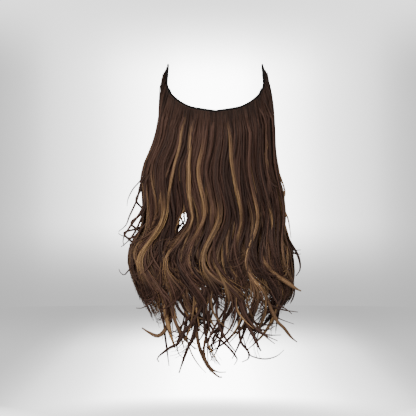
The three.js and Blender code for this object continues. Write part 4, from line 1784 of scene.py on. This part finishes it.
@dataclass(frozen=True)
class HairFinish:
    """Dark brown hair with golden highlights, and painted shade near the band.

    Attributes:
        deep: Colour of the darkest strands.
        brown: Colour of the lightest plain strands.
        gold: Colour of the highlights.
        amber: Colour that the highlights vary towards.
        shine: Tint of the shine.
        shaded_root_light: How light the painted shade near the band leaves a root, against the hair below it.
        root_shade_reach: One over the share of the fall at which the painted shade near the band has gone.
    """

    deep: tuple[float, ...] = srgb(42, 29, 27)
    brown: tuple[float, ...] = srgb(85, 60, 51)
    gold: tuple[float, ...] = srgb(224, 182, 130)
    amber: tuple[float, ...] = srgb(126, 90, 54)
    shine: tuple[float, ...] = (1.0, 0.76, 0.58, 1.0)
    shaded_root_light: float = 0.45
    root_shade_reach: float = 8.0

    def material(self, grain: NodeTree) -> Material:
        """Builds the hair's material.

        Args:
            grain: The lengthwise grain group.

        Returns:
            The material.
        """
        made, nodes, shader = new_surface("wavy_hair")
        streaks = nodes.add("ShaderNodeGroup", node_tree=grain)
        nodes.feed(streaks, {"Vector": nodes.mark("grain", "Vector")})
        fine, broad = streaks.outputs["Fine"], streaks.outputs["Broad"]
        tone = nodes.maths("MULTIPLY", nodes.mark("tone"), nodes.maths("ADD", broad, 0.5))
        plain = nodes.blend(tone, self.deep, self.brown)
        colour = nodes.blend(nodes.mark("gold"), plain, nodes.blend(fine, self.amber, self.gold))
        # Painted shade: the hair is darker near the band, where it is sewn, and lightens down the fall.
        rooted = nodes.maths("MINIMUM", nodes.maths("MULTIPLY", nodes.mark("fall"), self.root_shade_reach), 1.0)
        lit = nodes.line(rooted, 1.0 - self.shaded_root_light, self.shaded_root_light)
        shade = nodes.add("ShaderNodeCombineColor", {part: lit for part in range(3)})
        nodes.feed(shader, {
            "Base Color": nodes.blend(1.0, colour, shade.outputs[0], "MULTIPLY"),
            "Roughness": nodes.line(fine, 0.22, 0.38),
            "Specular IOR Level": 0.25,
            "Specular Tint": self.shine,
            "Normal": nodes.bump(fine, 0.5, 0.6 * MM),
        })
        return made


@dataclass(frozen=True)
class ThreadFinish:
    """Black woven or wound thread.

    Attributes:
        name: The material's name.
        dark: Colour in the gaps, painted shade between the threads.
        light: Colour on the threads.
        threads: Threads across a metre.
        roughness: How matt it is.
    """

    name: str
    dark: tuple[float, ...] = srgb(7, 6, 6)
    light: tuple[float, ...] = srgb(24, 20, 19)
    threads: float = 900.0
    roughness: float = 0.85

    def material(self, weave: NodeTree) -> Material:
        """Builds the thread's material.

        Args:
            weave: The thread relief group.

        Returns:
            The material.
        """
        made, nodes, shader = new_surface(self.name)
        threads = nodes.add("ShaderNodeGroup", node_tree=weave)
        nodes.feed(threads, {"Threads": self.threads, "Vector": nodes.place()})
        height, wear = threads.outputs["Height"], threads.outputs["Wear"]
        # Darker in the gaps between threads, painted shade, and varied by the wear noise.
        share = nodes.maths("MULTIPLY", height, nodes.maths("ADD", wear, 0.3))
        nodes.feed(shader, {
            "Base Color": nodes.blend(share, self.dark, self.light),
            "Roughness": nodes.line(wear, 0.2, self.roughness - 0.1),
            "Specular IOR Level": 0.2,
            "Normal": nodes.bump(height, 0.6, 0.3 * MM),
        })
        return made


@dataclass(frozen=True)
class CoatedMetalFinish:
    """Black coated spring steel, as on a snap clip.

    Attributes:
        coat: Colour of the coat.
        worn: Colour where it is worn.
        grain: How fine the wear is.
    """

    coat: tuple[float, ...] = srgb(22, 20, 20)
    worn: tuple[float, ...] = srgb(58, 52, 48)
    grain: float = 420.0

    def material(self) -> Material:
        """Builds the clip's material.

        Returns:
            The material.
        """
        made, nodes, shader = new_surface("coated_metal")
        wear = nodes.noise(nodes.place(), self.grain, 4.0)
        nodes.feed(shader, {
            "Base Color": nodes.blend(wear, self.coat, self.worn),
            "Roughness": nodes.line(wear, 0.25, 0.25),
            "Metallic": 0.6,
            "Normal": nodes.bump(wear, 0.15, 0.2 * MM),
        })
        return made


@dataclass
class SewnBand:
    """The band, the wound cord on its edge, its seams, the eyes at its ends and its clips.

    Attributes:
        band: The band's line.
        clips: How many clips there are.
        cord_lift: How far the cord's middle stands above the band's top edge.
        cord_radius: Radius of the cord under its winding.
        wound_radius: Radius of the thread that is wound round it.
        wound_turns: How many turns it makes.
        turn_points: How many points a turn has.
        bound_radius: Radius of the cord at its bound ends.
        bound_from: Shares across, to either side, between which it thickens to that.
        eye_radius: Half-width of an eye's middle line.
        eye_reach: Half its length.
        eye_wire: Radius of an eye's thread bundle.
        eye_turns: How many turns are wound round it.
        eye_round: Share of a whole round that an eye makes.
        seam_drops: Drops of the zigzag seams below the band's top edge.
        seam_half: Half the height of a zigzag.
        seam_turns: How many zigzags a seam has.
        seam_radius: Radius of its thread.
        seam_reach: Share across, to either side, at which it ends.
        seam_edge: How sharp its corners are, from 0 to 1.
    """

    band: BandLine = field(default_factory=BandLine)
    clips: int = 5
    cord_lift: float = 1.3 * MM
    cord_radius: float = 1.25 * MM
    wound_radius: float = 0.3 * MM
    wound_turns: int = 230
    turn_points: int = 10
    bound_radius: float = 2.3 * MM
    bound_from: Pair = (0.9, 0.98)
    eye_radius: float = 1.9 * MM
    eye_reach: float = 2.6 * MM
    eye_wire: float = 1.05 * MM
    eye_turns: int = 18
    eye_round: float = 0.98
    seam_drops: tuple[float, ...] = (3.2 * MM, 8.8 * MM)
    seam_half: float = 1.3 * MM
    seam_turns: int = 120
    seam_radius: float = 0.24 * MM
    seam_reach: float = 0.985
    seam_edge: float = 0.97

    def bound(self, line: Array, outward: Array, radius: Array, turns: int) -> list[Grid]:
        """A close core along a line, with one thread wound round it in a helix.

        The thread's middle lies at front cos a plus side sin a, times the core's radius and a little more,
        where a grows evenly along the line.

        Args:
            line: Points of the line, turn_points for each turn of the thread and one more.
            outward: A vector square to the line, or nearly, at each point.
            radius: The core's radius at each point.
            turns: How many turns the thread makes.

        Returns:
            The core's arrays and the thread's.
        """
        ahead = unit(np.gradient(line, axis=0))
        front = unit(outward - ahead * np.sum(outward * ahead, -1, keepdims=True))
        side = np.cross(ahead, front)
        angle = np.linspace(0.0, 2 * math.pi * turns, len(line))
        round_it = front * np.cos(angle)[:, None] + side * np.sin(angle)[:, None]
        wound = line + (radius + 0.3 * self.wound_radius)[:, None] * round_it
        thin = np.full((1, len(line)), self.wound_radius)
        winding = swept_tubes(wound[None], round_it[None], thin, thin, 4, map_cells(1, 1, 0.5, 0.5))
        few = slice(None, None, self.turn_points)
        wide = radius[None, few]
        core = swept_tubes(line[None, few], front[None, few], wide, wide, 8, map_cells(1, 1, 0.0, 0.5))
        return [core, winding]

    def edge_cord(self, finish: Material) -> Piece:
        """The cord along the band's top edge, thicker where its ends are bound.

        Args:
            finish: The thread's material.

        Returns:
            The piece, which stands for the edge binding in the frame.
        """
        u = np.linspace(-1.0, 1.0, self.turn_points * self.wound_turns + 1)
        _, _, outward = self.band.inner_face(u)
        radius = mixed(self.cord_radius, self.bound_radius, ease(np.abs(u), *self.bound_from))
        grids = self.bound(self.band.edge(u, self.cord_lift), outward, radius, self.wound_turns)
        piece = placed_mesh("edge_cord", joined(grids).unmarked(), finish)
        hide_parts("edge_binding")
        return piece

    def tip_eye(self, side: str, finish: Material) -> Piece:
        """The wound eye past one end of the cord: a ring in the plane of the cord's way onward and the
        upright of the band's face.

        Args:
            side: Which end, left or right.
            finish: The thread's material.

        Returns:
            The piece, which stands for the tip loop in the frame.
        """
        end = np.array([-1.0 if side == "left" else 1.0])
        _, _, outward = self.band.inner_face(end)
        last = self.band.edge(end, self.cord_lift)
        onward = unit(last - self.band.edge(end * (1.0 - SMALL_SHARE), self.cord_lift))
        upward = unit(np.cross(outward, onward))
        half_round = self.eye_round * math.pi
        angle = np.linspace(-half_round, half_round, self.turn_points * self.eye_turns + 1)[:, None]
        line = last + (self.eye_reach + self.cord_radius) * onward
        line = line + self.eye_reach * np.cos(angle) * onward + self.eye_radius * np.sin(angle) * upward
        wire = np.full(len(line), self.eye_wire)
        grids = self.bound(line, np.broadcast_to(outward, line.shape), wire, self.eye_turns)
        piece = placed_mesh(f"tip_eye_{side}", joined(grids).unmarked(), finish)
        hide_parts(f"tip_loop_{side}")
        return piece

    def seams(self, finish: Material) -> Piece:
        """Zigzag seams along the band's inner face. The drop is the arcsine of a sine of the share across: a
        triangle wave, with its corners eased because the sine is made a little smaller.

        Args:
            finish: The thread's material.

        Returns:
            The piece.
        """
        u = np.linspace(-self.seam_reach, self.seam_reach, 8 * self.seam_turns + 1)
        angle = math.pi * self.seam_turns * (u / self.seam_reach + 1.0)
        wave = np.arcsin(self.seam_edge * np.sin(angle)) / np.arcsin(self.seam_edge)
        out = np.full_like(u, -0.6 * self.seam_radius)
        lines = np.stack([self.band.point(u, out, drop + self.seam_half * wave) for drop in self.seam_drops])
        _, _, outward = self.band.inner_face(u)
        size = np.full(lines.shape[:2], self.seam_radius)
        outward, cells = np.broadcast_to(outward, lines.shape), map_cells(2, 2, 0.0, 1.0)
        grid = swept_tubes(lines, outward, size, size, 4, cells)
        return placed_mesh("band_seams", grid.unmarked(), finish)

    def dress(self, weave: NodeTree) -> None:
        """Makes the cord, the seams and the eyes, and gives each node of the frame that stays its finish.

        Args:
            weave: The thread relief group.
        """
        band = ThreadFinish("woven_band").material(weave)
        binding = ThreadFinish("binding_thread", threads=1500.0).material(weave)
        metal = CoatedMetalFinish().material()
        self.edge_cord(binding)
        self.seams(binding)
        for side in ("left", "right"):
            self.tip_eye(side, binding)
        clips = [(f"snap_clip_{i + 1}", metal) for i in range(self.clips)]
        for node, finish in [("weft_band", band), *clips]:
            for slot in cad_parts[node].material_slots:
                slot.material = finish


def triangles(piece: Piece) -> int:
    """How many triangles a piece's faces make."""
    piece.data.calc_loop_triangles()
    return len(piece.data.loop_triangles)


def main() -> None:
    """Builds the studio and each sub-assembly in order."""
    logging.basicConfig(level=logging.INFO, format="%(name)s: %(message)s")
    studio = Studio()
    studio.build()
    weave = woven_thread_group()
    SewnBand().dress(weave)
    log.info("dressed the band, its binding, its eyes and its clips")
    wall = HairWall()
    hair = HairFinish().material(strand_grain_group())
    for place, (end, turn) in enumerate(SECTION_ENDS):
        piece = HairSection(place + 1, end, turn, wall).build(hair)
        log.info("%s: %d triangles", piece.name, triangles(piece))
    loose = LooseWisps(wall, studio).build(hair)
    log.info("%s: %d triangles", loose.name, triangles(loose))


if __name__ == "__main__":
    main()
